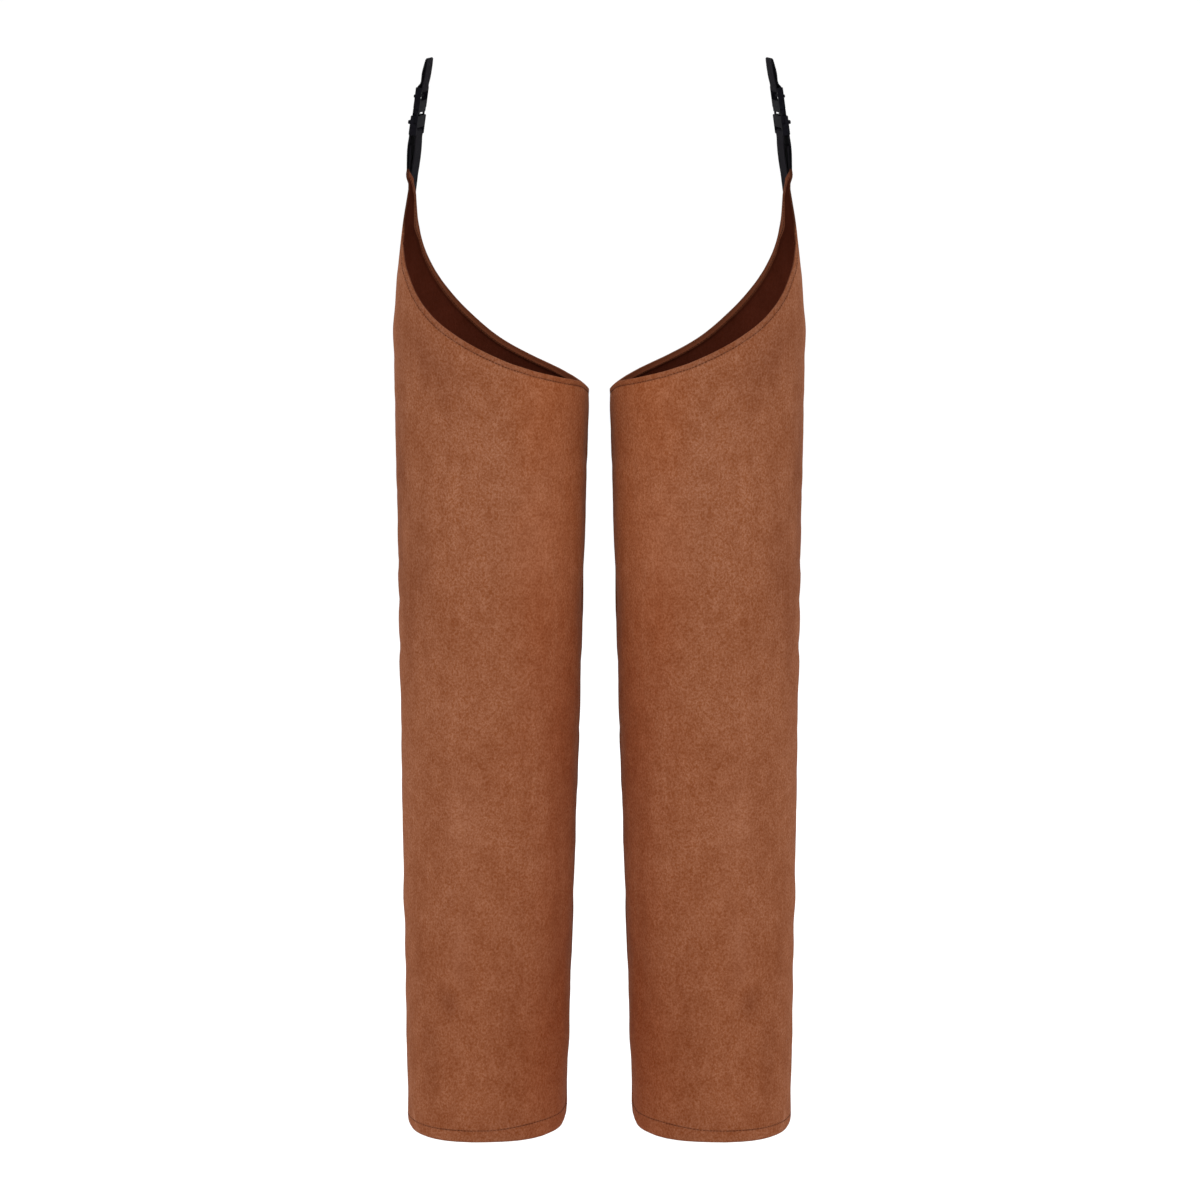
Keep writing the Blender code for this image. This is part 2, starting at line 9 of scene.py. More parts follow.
import bpy
import numpy as np
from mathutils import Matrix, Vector


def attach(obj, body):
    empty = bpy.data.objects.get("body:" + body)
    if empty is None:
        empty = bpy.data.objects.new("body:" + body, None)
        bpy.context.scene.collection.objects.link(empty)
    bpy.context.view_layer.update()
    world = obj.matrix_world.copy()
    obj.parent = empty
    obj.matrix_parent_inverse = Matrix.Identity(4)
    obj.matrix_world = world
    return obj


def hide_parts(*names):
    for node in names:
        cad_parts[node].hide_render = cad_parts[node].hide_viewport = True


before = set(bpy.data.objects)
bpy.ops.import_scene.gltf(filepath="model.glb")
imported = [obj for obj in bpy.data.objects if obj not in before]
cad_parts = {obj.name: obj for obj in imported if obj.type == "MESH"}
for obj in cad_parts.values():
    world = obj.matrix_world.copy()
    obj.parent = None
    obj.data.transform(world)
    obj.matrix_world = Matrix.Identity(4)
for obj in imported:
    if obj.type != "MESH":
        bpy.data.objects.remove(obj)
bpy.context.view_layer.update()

# ---------------------------------------------------------------- sizes, mostly as in the solids
HEM = -1.0448
CLOTH = 0.0015
DOUBLED = 0.0029               # thickness of a turned edge
HEM_FOLD = 0.0115
HEM_STRIP = 0.0190             # the turned-in part of the hem
HEM_ROLL = 0.0030              # how far the hem rolls inwards
HEM_TILT = 0.0010
RIM_FOLD = 0.0070
RIM_STRIP = 0.0062             # the turned-in part of the top edge
CUT_EDGE = 0.0013              # how far the strip's cut edge slopes
LONGEST_DROP = 0.016
SEAM_GAP = 0.0003
SEAM_DIP = 0.0012              # depth of the groove at a sewn seam, and its width
SEAM_DIP_WIDTH = 0.0016
SEAM_SWELL = 0.0003            # the raised allowance beside it: height, place and width
SEAM_SWELL_OFF = 0.0045
SEAM_SWELL_WIDTH = 0.0025
HIP_SEWN_TO = -0.146           # above this the outer edge isn't sewn to the other panel
OUTSEAM = -5.0
MEAN_RADIUS = 0.092
TIP_CURL = 0.0043
TIP_CURL_AROUND = 10.0
TIP_CURL_SPAN = 4.5
TIP_CURL_FOOT = -0.1118
TIP_CURL_RISE = 0.0120
INSEAM_FLAT = 0.0006           # the leg is a little flatter along its inseam
UPPER_START = -0.375           # where the upper rows of a panel begin
BLEND_START = -0.450           # and where its columns start to follow the top edge
CALM_ABOVE = -0.155            # no ripples above this
RIPPLES = ((0.00060, 0.140, 3), (0.00028, 0.050, 5), (0.00010, 0.017, 8))  # depth, wave, seed

SECTION_NAMES = ("height", "side_x", "half_width", "half_depth", "centre_y", "fullness")
LEG_SECTIONS = np.array((
    (HEM, 0.1904, 0.0785, 0.0770, 0.0020, 2.20),
    (-0.900, 0.1921, 0.0818, 0.0810, 0.0040, 2.20),
    (-0.750, 0.1942, 0.0855, 0.0865, 0.0020, 2.15),
    (-0.600, 0.1958, 0.0887, 0.0895, -0.0030, 2.10),
    (-0.450, 0.1972, 0.0918, 0.0940, -0.0020, 2.10),
    (-0.307, 0.1996, 0.0948, 0.0980, 0.0000, 2.10),
    (-0.250, 0.1999, 0.0955, 0.1000, 0.0010, 2.10),
    (-0.200, 0.1963, 0.0960, 0.1015, 0.0020, 2.05),
    (-0.150, 0.1907, 0.0965, 0.1030, 0.0030, 2.00),
    (-0.110, 0.1848, 0.0965, 0.1040, 0.0030, 2.00),
    (0.030, 0.1640, 0.0960, 0.1040, 0.0030, 2.00),
))

# The cut of the top edge: degrees round the leg (plus is the back) and height.
FRONT_RIM = np.array((
    (OUTSEAM, -0.1540), (-10.0, -0.1628), (-16.0, -0.1722), (-22.0, -0.1818), (-29.0, -0.1915),
    (-38.0, -0.2055), (-47.0, -0.2176), (-56.0, -0.2286), (-65.0, -0.2383), (-82.0, -0.2548),
    (-100.0, -0.2694), (-109.0, -0.2750), (-118.0, -0.2801), (-138.0, -0.2887), (-155.0, -0.2945),
    (-168.0, -0.3010), (-180.0, -0.3066),
))
BACK_RIM = np.array((
    (5.0, -0.0945), (7.0, -0.0972), (8.8, -0.1010), (11.2, -0.1052), (14.2, -0.1096),
    (17.4, -0.1133), (20.0, -0.1172), (21.9, -0.1217), (24.8, -0.1308), (27.9, -0.1413),
    (30.8, -0.1504), (39.8, -0.1752), (56.2, -0.2087), (75.0, -0.2413), (94.0, -0.2683),
    (114.0, -0.2857), (137.0, -0.2978), (158.0, -0.3047), (180.0, -0.3066),
))
HIP_FRONT_EDGE = np.array((
    (OUTSEAM, -0.1540), (-1.0, -0.1400), (2.2, -0.1260), (3.9, -0.1150), (4.7, -0.1045),
    (5.0, -0.0945),
))

# Soft folds of the solids: around, height, half size across and along, depth, lean.
LEG_FOLDS = (
    (-146.0, -0.860, 0.016, 0.150, 0.0018, 0.00),
    (-118.0, -0.900, 0.018, 0.120, -0.0012, 0.03),
    (-40.0, -0.640, 0.020, 0.140, 0.0012, -0.05),
    (-62.0, -0.420, 0.024, 0.110, 0.0010, 0.10),
    (62.0, -0.600, 0.016, 0.060, 0.0034, 0.55),
    (112.0, -0.635, 0.015, 0.055, 0.0032, -0.60),
    (88.0, -0.690, 0.020, 0.060, 0.0026, 0.15),
    (74.0, -0.480, 0.022, 0.090, 0.0024, -0.12),
    (128.0, -0.800, 0.018, 0.110, 0.0026, 0.05),
    (52.0, -0.860, 0.018, 0.120, 0.0022, -0.05),
    (92.0, -0.940, 0.020, 0.070, -0.0018, 0.00),
)
# Finer creases and slight hollows that only the cloth here has, in the same columns.
SMALL_FOLDS = (
    (-7.0, -0.405, 0.014, 0.006, 0.0007, 0.0),
    (-6.0, -0.436, 0.012, 0.005, 0.0006, 0.0),
    (-5.0, -0.478, 0.015, 0.006, 0.0008, 0.0),
    (-6.0, -0.515, 0.012, 0.006, 0.0006, 0.0),
    (-5.0, -0.561, 0.013, 0.007, 0.0007, 0.0),
    (-6.0, -0.610, 0.012, 0.006, 0.0005, 0.0),
    (-14.0, -1.0150, 0.0060, 0.0045, 0.0011, 0.0),
    (-3.0, -0.230, 0.050, 0.048, 0.0013, 0.0),
    (-3.0, -0.370, 0.050, 0.055, 0.0009, 0.0),
    (-3.0, -0.760, 0.050, 0.055, 0.0006, 0.0),
    (180.0, -0.345, 0.050, 0.035, -0.0008, 0.0),
    (180.0, -0.502, 0.050, 0.028, 0.0014, 0.0),
    (180.0, -0.645, 0.050, 0.030, 0.0007, 0.0),
    (-170.0, -0.360, 0.010, 0.040, 0.0010, 0.06),
    (-162.0, -0.420, 0.008, 0.050, -0.0006, 0.05),
    (172.0, -0.350, 0.012, 0.030, 0.0012, -0.08),
    (150.0, -0.560, 0.010, 0.050, 0.0010, -0.30),
    (38.0, -0.570, 0.010, 0.050, 0.0011, 0.35),
    (96.0, -0.560, 0.012, 0.040, 0.0013, 0.60),
    (82.0, -0.655, 0.010, 0.040, 0.0012, -0.55),
    (120.0, -0.720, 0.010, 0.050, 0.0010, 0.20),
)

# Lighter and darker places painted on the nap: around, height, half size across and along, tone,
# lean.
# The darker ones are partly painted shade of shallow troughs and creases, partly darker mottles;
# the small diagonal light ones are scratches.
TONES = (
    (-14.0, -0.430, 0.010, 0.085, -0.24, 0.00),
    (-27.0, -0.520, 0.013, 0.070, -0.18, 0.05),
    (-22.0, -0.325, 0.020, 0.080, -0.15, 0.00),
    (-52.0, -0.266, 0.027, 0.045, -0.21, 0.45),
    (-25.0, -0.388, 0.010, 0.035, -0.12, 0.30),
    (-43.0, -0.480, 0.016, 0.060, -0.16, 0.00),
    (-68.0, -0.793, 0.012, 0.045, -0.10, -0.20),
    (-108.0, -0.930, 0.024, 0.130, -0.09, 0.00),
    (-150.0, -0.330, 0.022, 0.030, -0.15, 0.00),
    (-64.0, -0.905, 0.013, 0.014, -0.22, 0.20),
    (-48.0, -0.960, 0.012, 0.050, -0.08, 0.00),
    (-36.0, -0.870, 0.010, 0.050, -0.05, 0.00),
    (-75.0, -0.730, 0.020, 0.060, 0.05, 0.00),
    (-70.0, -0.830, 0.014, 0.090, 0.07, 0.00),
    (-98.0, -1.032, 0.060, 0.016, -0.09, 0.00),
    (-118.0, -0.440, 0.030, 0.050, 0.05, 0.00),
    (-96.0, -0.527, 0.0030, 0.0012, 0.45, 1.20),
    (-99.0, -0.521, 0.0022, 0.0010, 0.35, 1.20),
    (-24.3, -1.0270, 0.0026, 0.0120, 0.26, 0.85),
    (-16.5, -1.0280, 0.0040, 0.0100, -0.12, 0.60),
    (40.0, -0.420, 0.030, 0.080, -0.18, 0.10),
    (90.0, -0.560, 0.035, 0.020, 0.12, 0.10),
    (118.0, -0.470, 0.020, 0.090, 0.08, 0.00),
    (70.0, -0.760, 0.024, 0.080, -0.16, 0.00),
    (128.0, -0.900, 0.020, 0.060, -0.14, 0.00),
    (32.0, -0.930, 0.015, 0.070, 0.10, 0.00),
)

# The hanger, measured from the hip point.
FOOT_HEIGHT = -0.112
FOOT_AROUND = 18.0
TOP_AROUND = 15.0
SURFACE_PER_HEIGHT = 1.011
WEBBING_WIDTH = 0.022
WEBBING = 0.0012
FLAT_FROM = 0.018
FLAT_TO = 0.040
SOCKET_BAR = (0.0038, 0.0516)
SOCKET_LOOP = 0.0032
PLUG_BAR = (0.0034, 0.0945)
PLUG_LOOP = 0.0028
STRAP_INNER = (
    (0.0006, -0.0235), (0.0006, -0.0145), (0.0006, -0.0055), (0.0006, 0.0040), (0.0006, 0.0110),
    (0.0003, 0.0180), (0.0000, 0.0250), (-0.0002, 0.0320), (0.0000, 0.0400), (0.0006, 0.0470),
)
STRAP_OUTER = ((0.0070, 0.0460), (0.0072, 0.0400), (0.0069, 0.0320), (0.0062, 0.0240))
STRAP_TAIL = (0.0040, 0.0122)
TAIL_RADIUS = 0.0008
STRAP_TAIL_END = ((0.0036, 0.0210), (0.0043, 0.0300), (0.0050, 0.0390))
LOOP_INNER = (
    (-0.0005, 0.124), (-0.0006, 0.119), (-0.0005, 0.112), (-0.0001, 0.105), (0.0006, 0.099),
)
LOOP_OUTER = (
    (0.0046, 0.0976), (0.0028, 0.1004), (0.0024, 0.1030), (0.0025, 0.1055), (0.0026, 0.1100),
    (0.0023, 0.1140), (0.0018, 0.1175), (0.0012, 0.1215), (0.0008, 0.1238), (0.0002, 0.1250),
)

# Sewing, in metres.
RIM_STITCH = 0.0051           # the line's place below the top edge
HEM_STITCH = 0.0128           # and above the hem
HEM_STITCH_RISE = 0.0050      # how much higher it runs on the inner side
STITCH_PITCH = 0.0033
STITCH_LENGTH = 0.0026
THREAD = 0.00026              # radius
GROOVE = 0.00035              # the groove that the threads pull into the cloth
GROOVE_WIDTH = 0.0006
PUCKER = 0.00012
PUCKER_WIDTH = 0.006
RIM_PUFF = 0.00012            # how full the cloth is between an edge and its stitch line
HEM_PUFF = 0.00025
HANGER_PITCH = 0.0024
HANGER_STITCH = 0.0019
HANGER_THREAD = 0.00022

# How finely the shells are divided.
COLUMNS = 84
LOWER_ROWS = 104
UPPER_ROWS = 64
INNER_LOWER_ROWS = 52
INNER_UPPER_ROWS = 32
HEM_ROWS_TOP = 0.024          # the rows beside an edge keep their distance from it up to here
RIM_ROWS_FOOT = 0.019
HEM_ROWS = (2.4, 4.4, 6.6, 8.6, 10.4)                                  # in millimetres
STITCH_ROWS = (-1.4, -0.9, -0.5, -0.2, 0.2, 0.5, 0.9, 1.5, 2.4, 4.0)
RIM_ROWS = (15.0, 11.0, 8.6, 7.0, 6.2, 5.6, 5.2, 4.8, 4.4, 3.8, 3.0, 2.2)
RIM_STRIP_ROWS = (2.4, 3.6, 4.4, 4.9, 5.3)
RIM_INNER_ROWS = (8.6, 11.0, 15.0)
HEM_STRIP_ROWS = (16.0, 13.5, 11.5, 9.6, 8.0, 6.0, 4.0, 2.4)
SEAM_COLUMNS = (0.0, 0.7, 1.4, 2.2, 3.4, 5.2)
PANEL_WIDTH = 0.29
OUTER_FACE, FLESH_FACE, CUT_FACE = 0, 1, 2    # material slots


# ---------------------------------------------------------------- curves and the leg's form
def mix(a, b, t):
    return a + (b - a) * t


def smooth_step(t):
    t = np.clip(t, 0.0, 1.0)
    return t * t * (3.0 - 2.0 * t)


def curve(xs, ys, x):
    """Smooth curve through the points, with xs rising, at every x."""
    x = np.clip(x, xs[0], xs[-1])
    k = np.clip(np.searchsorted(xs, x, side="right") - 1, 0, len(xs) - 2)
    before = np.maximum(np.arange(len(xs)) - 1, 0)
    after = np.minimum(np.arange(len(xs)) + 1, len(xs) - 1)
    slope = (ys[after] - ys[before]) / (xs[after] - xs[before])
    span = xs[k + 1] - xs[k]
    t = (x - xs[k]) / span
    rise = (2 * t ** 3 - 3 * t ** 2 + 1) * ys[k] + (3 * t ** 2 - 2 * t ** 3) * ys[k + 1]
    bend = (t ** 3 - 2 * t ** 2 + t) * slope[k] + (t ** 3 - t ** 2) * slope[k + 1]
    return rise + bend * span


def section(name, height):
    return curve(LEG_SECTIONS[:, 0], LEG_SECTIONS[:, SECTION_NAMES.index(name)], height)


def tube(around, height):
    """Points of the smooth leg as (distance from the middle, y, z)."""
    around, height = np.broadcast_arrays(np.asarray(around, float), np.asarray(height, float))
    angle = np.radians(around)
    wide = section("half_width", height)
    power = section("fullness", height)
    reach = (np.abs(np.cos(angle)) / wide) ** power
    reach = reach + (np.abs(np.sin(angle)) / section("half_depth", height)) ** power
    radius = reach ** (-1.0 / power)
    x = section("side_x", height) - wide + radius * np.cos(angle)
    return np.stack((x, section("centre_y", height) + radius * np.sin(angle), height), -1)


def unit(vectors):
    return vectors / np.maximum(np.linalg.norm(vectors, axis=-1, keepdims=True), 1e-12)


def outward(around, height):
    across = tube(around + 0.5, height) - tube(around - 0.5, height)
    along = tube(around, height + 0.002) - tube(around, height - 0.002)
    return unit(np.cross(across, along))


def folds(table, around, height):
    depth = np.zeros(np.broadcast(around, height).shape)
    for place, level, across, along, deep, lean in table:
        rise = height - level
        turn = (around - place + 180.0) % 360.0 - 180.0
        off = np.radians(turn) * MEAN_RADIUS - lean * rise
        depth = depth + deep * np.exp(-(off / across) ** 2 - (rise / along) ** 2)
    return depth


def ripple(around, height, wave, seed):
    """A smooth uneven field of about one in size, with waves of the given length."""
    arc = np.radians(around) * MEAN_RADIUS
    dice = np.random.RandomState(seed)
    field = np.zeros(np.broadcast(around, height).shape)
    for _ in range(9):
        turn = dice.uniform(0.0, 2.0 * math.pi)
        length = wave * dice.uniform(0.7, 1.5)
        phase = dice.uniform(0.0, 2.0 * math.pi)
        way = arc * math.cos(turn) + height * math.sin(turn)
        field = field + np.sin(way * 2.0 * math.pi / length + phase)
    return field / 3.0


def hem_level(around):
    return HEM - HEM_TILT * np.cos(np.radians(around))


def hem_stitch(around):
    return HEM_STITCH + HEM_STITCH_RISE * smooth_step((np.abs(around) - 90.0) / 45.0)


def cloth_depth(around, height):
    """How far the cloth lies inside the smooth tube, the turned edges apart."""
    depth = folds(LEG_FOLDS, around, height) + folds(SMALL_FOLDS, around, height)
    forward = smooth_step((TIP_CURL_AROUND - around) / TIP_CURL_SPAN)
    backward = smooth_step((around - OUTSEAM) / 6.0)
    upward = smooth_step((height - TIP_CURL_FOOT) / TIP_CURL_RISE)
    depth = depth - TIP_CURL * forward * backward * upward
    depth = depth + INSEAM_FLAT * smooth_step((np.abs(around) - 140.0) / 35.0)
    calm = smooth_step((CALM_ABOVE - height) / 0.04)
    for deep, wave, seed in RIPPLES:
        depth = depth + deep * calm * ripple(around, height, wave, seed)
    return depth


# ---------------------------------------------------------------- mesh helpers
def add_mesh(name, points, faces, slots, face_slots=None, uvs=None, marks=None, sharp=50.0):
    """An object from arrays; uvs and marks are given per point."""
    mesh = bpy.data.meshes.new(name)
    mesh.from_pydata(points.tolist(), [], faces)
    for material in slots:
        mesh.materials.append(material)
    if face_slots is not None:
        mesh.polygons.foreach_set("material_index", np.asarray(face_slots, dtype=np.int32))
    corners = np.empty(len(mesh.loops), dtype=np.int32)
    mesh.loops.foreach_get("vertex_index", corners)
    if uvs is not None:
        layer = mesh.uv_layers.new(name="weave")
        layer.data.foreach_set("uv", uvs[corners].astype(np.float32).ravel())
    if marks is not None:
        layer = mesh.color_attributes.new(name="marks", type="FLOAT_COLOR", domain="POINT")
        layer.data.foreach_set("color", marks.astype(np.float32).ravel())
    mesh.update()
    mesh.shade_smooth()
    mesh.set_sharp_from_angle(angle=math.radians(sharp))
    obj = bpy.data.objects.new(name, mesh)
    bpy.context.scene.collection.objects.link(obj)
    return obj


def flip_for(side, faces):
    """Mirroring turns the faces over, so one side has them in the other order."""
    return [face[::-1] for face in faces] if side < 0 else faces


def placed(side, points):
    return points * np.array((side, 1.0, 1.0))


# ---------------------------------------------------------------- suede panels
class Panel:
    """One panel's cut: columns run from the outseam to the inseam."""

    def __init__(self, rim, far, edge, end_thinness=1.0):
        self.far = far
        self.edge = edge
        self.end_thinness = end_thinness      # of the turned top edge, where it is sewn under
        flat = np.radians(np.diff(rim[:, 0])) * MEAN_RADIUS
        steps = np.hypot(flat, np.diff(rim[:, 1]))
        self.rim = rim
        self.lengths = np.concatenate(([0.0], np.cumsum(steps)))

    def top(self, u):
        """Degrees round, height and steepness factor of the top edge."""
        s = self.lengths[-1] * u
        around = curve(self.lengths, self.rim[:, 0], s)
        height = curve(self.lengths, self.rim[:, 1], s)
        ahead = np.minimum(s + 0.002, self.lengths[-1])
        behind = np.maximum(s - 0.002, 0.0)
        turn, climb = (
            curve(self.lengths, column, ahead) - curve(self.lengths, column, behind)
            for column in self.rim.T
        )
        steep = climb / (np.radians(turn) * MEAN_RADIUS)
        longest = LONGEST_DROP / RIM_FOLD
        factor = ((1.0 + steep ** 2) ** -4.0 + longest ** -8.0) ** -0.125
        return around, height, factor

    def around(self, u, height):
        rim_around, rim_height, _ = self.top(u)
        edge = self.edge(height)
        rim_edge = self.edge(rim_height)
        rim_part = (rim_around - rim_edge) / (self.far - rim_edge)
        drift = smooth_step((height - BLEND_START) / (rim_height - BLEND_START))
        around = edge + mix(u, rim_part, drift) * (self.far - edge)
        low, high = sorted((OUTSEAM, self.far))
        return np.clip(around, low, high)

    def depth(self, around, height, top_height, factor):
        """Depth of the outer face, with its seams, turned edges and stitch lines."""
        depth = cloth_depth(around, height)
        from_out, from_in = self.from_edges(around, height)
        sewn = smooth_step((HIP_SEWN_TO - height) / 0.006)
        for off, share in ((from_out, sewn), (from_in, 1.0)):
            depth = depth + SEAM_DIP * np.exp(-(off / SEAM_DIP_WIDTH) ** 2) * share
            swell = np.exp(-((off - SEAM_SWELL_OFF) / SEAM_SWELL_WIDTH) ** 2)
            depth = depth - SEAM_SWELL * swell
        below = (top_height - height) / factor
        above = height - hem_level(around)
        arc = np.radians(around) * MEAN_RADIUS
        pull = 0.75 + 0.25 * np.cos(arc * 2.0 * math.pi / STITCH_PITCH)
        puckers = ripple(around, height * 0.3, 0.008, 21)
        for off, line, puff in (
            (below, RIM_STITCH, RIM_PUFF), (above, hem_stitch(around), HEM_PUFF),
        ):
            depth = depth + GROOVE * pull * np.exp(-((off - line) / GROOVE_WIDTH) ** 2)
            depth = depth - puff * np.sin(np.clip(off / line, 0.0, 1.0) * math.pi)
            depth = depth + PUCKER * np.exp(-((off - line) / PUCKER_WIDTH) ** 2) * puckers
        roll = np.maximum(1.0 - above / HEM_FOLD, 0.0) ** 2
        return depth + HEM_ROLL * roll

    def from_edges(self, around, height):
        """Distances along the cloth from the outer and the inner side edge."""
        from_out = np.abs(around - self.edge(height)) * math.radians(MEAN_RADIUS)
        return from_out, np.abs(self.far - around) * math.radians(MEAN_RADIUS)

    def point(self, u, height, inside):
        around = self.around(u, height)
        _, top_height, factor = self.top(u)
        deep = self.depth(around, height, top_height, factor) + inside
        return tube(around, height) - outward(around, height) * deep[..., None], around


def round_rows(radius, start, end, count):
    """(offset along the cloth, depth) round a folded edge, angles in degrees."""
    angles = np.radians(np.linspace(start, end, count))
    return [(radius * (1.0 - math.sin(a)), radius * (1.0 - math.cos(a))) for a in angles]


def ring_rows():
    """Every row of a panel's closed section, from the hem's outer side round to its inner one.

    Each is (kind, value, depth, slot of the faces after it); top is the row on the top edge.
    """
    outer, flesh = OUTER_FACE, FLESH_FACE
    radius = DOUBLED * 0.5
    rows = []

    def add(kind, places, deep, slot):
        rows.extend((kind, place, deep, slot) for place in places)

    def add_beside(kind, millimetres, deep, slot):
        add(kind, [off * 0.001 for off in millimetres], deep, slot)

    rows += [("hem", *row, outer) for row in reversed(round_rows(radius, 0.0, 90.0, 6)[:-1])]
    add_beside("hem", HEM_ROWS, 0.0, outer)
    add_beside("stitch", STITCH_ROWS, 0.0, outer)
    add("low", np.linspace(0.0, 1.0, LOWER_ROWS)[1:], 0.0, outer)
    add("up", np.linspace(0.0, 1.0, UPPER_ROWS)[1:], 0.0, outer)
    add_beside("rim", RIM_ROWS, 0.0, outer)
    rows += [("rim", *row, outer) for row in round_rows(radius, 0.0, 180.0, 11)]
    top = len(rows) - 6
    add_beside("rim", RIM_STRIP_ROWS, DOUBLED, outer)
    rows.append(("rim", RIM_STRIP, DOUBLED, flesh))
    rows.append(("rim", RIM_STRIP + CUT_EDGE, CLOTH + 0.0001, flesh))
    add_beside("rim", RIM_INNER_ROWS, CLOTH, flesh)
    add("up", np.linspace(1.0, 0.0, INNER_UPPER_ROWS)[1:], CLOTH, flesh)
    add("low", np.linspace(1.0, 0.0, INNER_LOWER_ROWS)[1:], CLOTH, flesh)
    rows.append(("hem", HEM_STRIP + 0.0015, CLOTH, flesh))
    rows.append(("hem", HEM_STRIP + 0.0001, CLOTH + 0.0001, CUT_FACE))
    rows.append(("hem", HEM_STRIP, DOUBLED, outer))
    add_beside("hem", HEM_STRIP_ROWS, DOUBLED, outer)
    rows += [("hem", *row, outer) for row in reversed(round_rows(radius, 90.0, 180.0, 6))]
    return rows, top


def zip_end(points, first, top, count):
    """Triangles that close a panel's side edge, between its outer and inner faces."""
    outer = [first + count - 1] + [first + j for j in range(top + 1)]
    inner = [first + j for j in range(count - 1, top - 1, -1)]
    triangles = []
    a = 0
    b = 0
    while a < len(outer) - 1 or b < len(inner) - 1:
        next_a = points[outer[a + 1], 2] if a < len(outer) - 1 else math.inf
        next_b = points[inner[b + 1], 2] if b < len(inner) - 1 else math.inf
        if next_a <= next_b:
            triangles.append((outer[a], outer[a + 1], inner[b]))
            a += 1
        else:
            triangles.append((outer[a], inner[b + 1], inner[b]))
            b += 1
    return [t for t in triangles if len(set(t)) == 3]


def column_places():
    """Places from seam to seam, crowded where the cloth dips into a seam."""
    near = np.array(SEAM_COLUMNS) * 0.001 / PANEL_WIDTH
    middle = np.linspace(0.030, 0.970, COLUMNS)
    return np.concatenate((near, middle, 1.0 - near[::-1]))


def add_panel(name, side, panel, slots):
    u = column_places()
    rows, top = ring_rows()
    _, top_height, factor = panel.top(u)
    heights = np.empty((len(u), len(rows)))
    inside = np.empty(len(rows))
    hem = hem_level(mix(OUTSEAM, panel.far, u))
    stitch = hem_stitch(mix(OUTSEAM, panel.far, u))
    for j, (kind, value, deep, _) in enumerate(rows):
        inside[j] = deep
        if kind == "hem":
            heights[:, j] = hem + value
        elif kind == "stitch":
            heights[:, j] = hem + stitch + value
        elif kind == "low":
            heights[:, j] = mix(hem + HEM_ROWS_TOP, UPPER_START, value)
        elif kind == "up":
            heights[:, j] = mix(UPPER_START, top_height - RIM_ROWS_FOOT * factor, value)
        else:
            heights[:, j] = top_height - value * factor
    grid_u = np.repeat(u[:, None], len(rows), 1)
    turned_edge = np.array([kind == "rim" for kind, _, _, _ in rows])
    by_outseam = smooth_step(1.0 - u / 0.10)[:, None]
    thinned = 1.0 - (1.0 - panel.end_thinness) * by_outseam * turned_edge[None, :]
    points, around = panel.point(grid_u, heights, inside[None, :] * thinned)
    count = len(rows)
    faces = []
    face_slots = []
    for i in range(len(u) - 1):
        for j in range(count):
            k = (j + 1) % count
            here = i * count
            there = here + count
            faces.append((here + j, there + j, there + k, here + k))
            face_slots.append(rows[j][3])
    flat_points = points.reshape(-1, 3)
    for first in (0, (len(u) - 1) * count):
        ends = zip_end(flat_points, first, top, count)
        faces += [t if first else t[::-1] for t in ends]
        face_slots += [CUT_FACE] * len(ends)
    faces = flip_for(-side if panel.far > 0.0 else side, faces)
    marks = panel_marks(panel, around, heights, inside, turned_edge, hem, stitch)
    return add_mesh(name, placed(side, flat_points), faces, slots, face_slots, marks=marks)


def panel_marks(panel, around, heights, inside, turned_edge, hem, stitch):
    """Tone, painted shade, stitch line and turned-in cloth, as one colour for each point."""
    _, top_height, factor = panel.top(column_places())
    below = (top_height[:, None] - heights) / factor[:, None]
    above = heights - hem[:, None]
    tone = 0.5 + folds(TONES, around, heights)
    from_out, from_in = panel.from_edges(around, heights)
    outside = smooth_step((0.0012 - inside) / 0.0010)
    # Painted shade in the seams, on the rolled top edge, under the hem's roll and on the band above
    # the top stitch line
    shade = np.maximum.reduce((
        np.exp(-(from_out / 0.0030) ** 2),
        0.8 * np.exp(-(from_in / 0.0030) ** 2),
        turned_edge * (inside > 0.0012) * smooth_step((0.0022 - below) / 0.0012),
        0.7 * smooth_step((0.0024 - above) / 0.0016),
        0.5 * outside * smooth_step((RIM_STITCH + 0.0012 - below) / 0.0020),
    ))
    # The stitch lines, darkened as painted shade in their grooves
    line = np.maximum(
        np.exp(-((below - RIM_STITCH) / 0.0010) ** 2),
        np.exp(-((above - stitch[:, None]) / 0.0010) ** 2),
    )
    turned_in = np.broadcast_to(smooth_step((inside - 0.0006) / 0.0012)[None, :], tone.shape)
    return np.stack((tone, shade, line, turned_in), -1).reshape(-1, 4)


def rim_line(panel, below, inside, lift):
    """Points and outward directions along a stitch line that follows the top edge."""
    u = np.linspace(0.004, 0.996, 700)
    _, top_height, factor = panel.top(u)
    points, around = panel.point(u, top_height - below * factor, np.full(len(u), inside))
    return lifted(points, outward(around, top_height), inside, lift)


def hem_line(panel, inside, lift):
    """The same along the hem."""
    u = np.linspace(0.004, 0.996, 500)
    around = mix(OUTSEAM, panel.far, u)
    height = hem_level(around) + hem_stitch(around)
    points, around = panel.point(u, height, np.full(len(u), inside))
    return lifted(points, outward(around, height), inside, lift)


def lifted(points, normals, inside, lift):
    """The line a little off its face, which looks inwards where inside isn't zero."""
    normals = normals if inside == 0.0 else -normals
    return points + normals * lift, normals


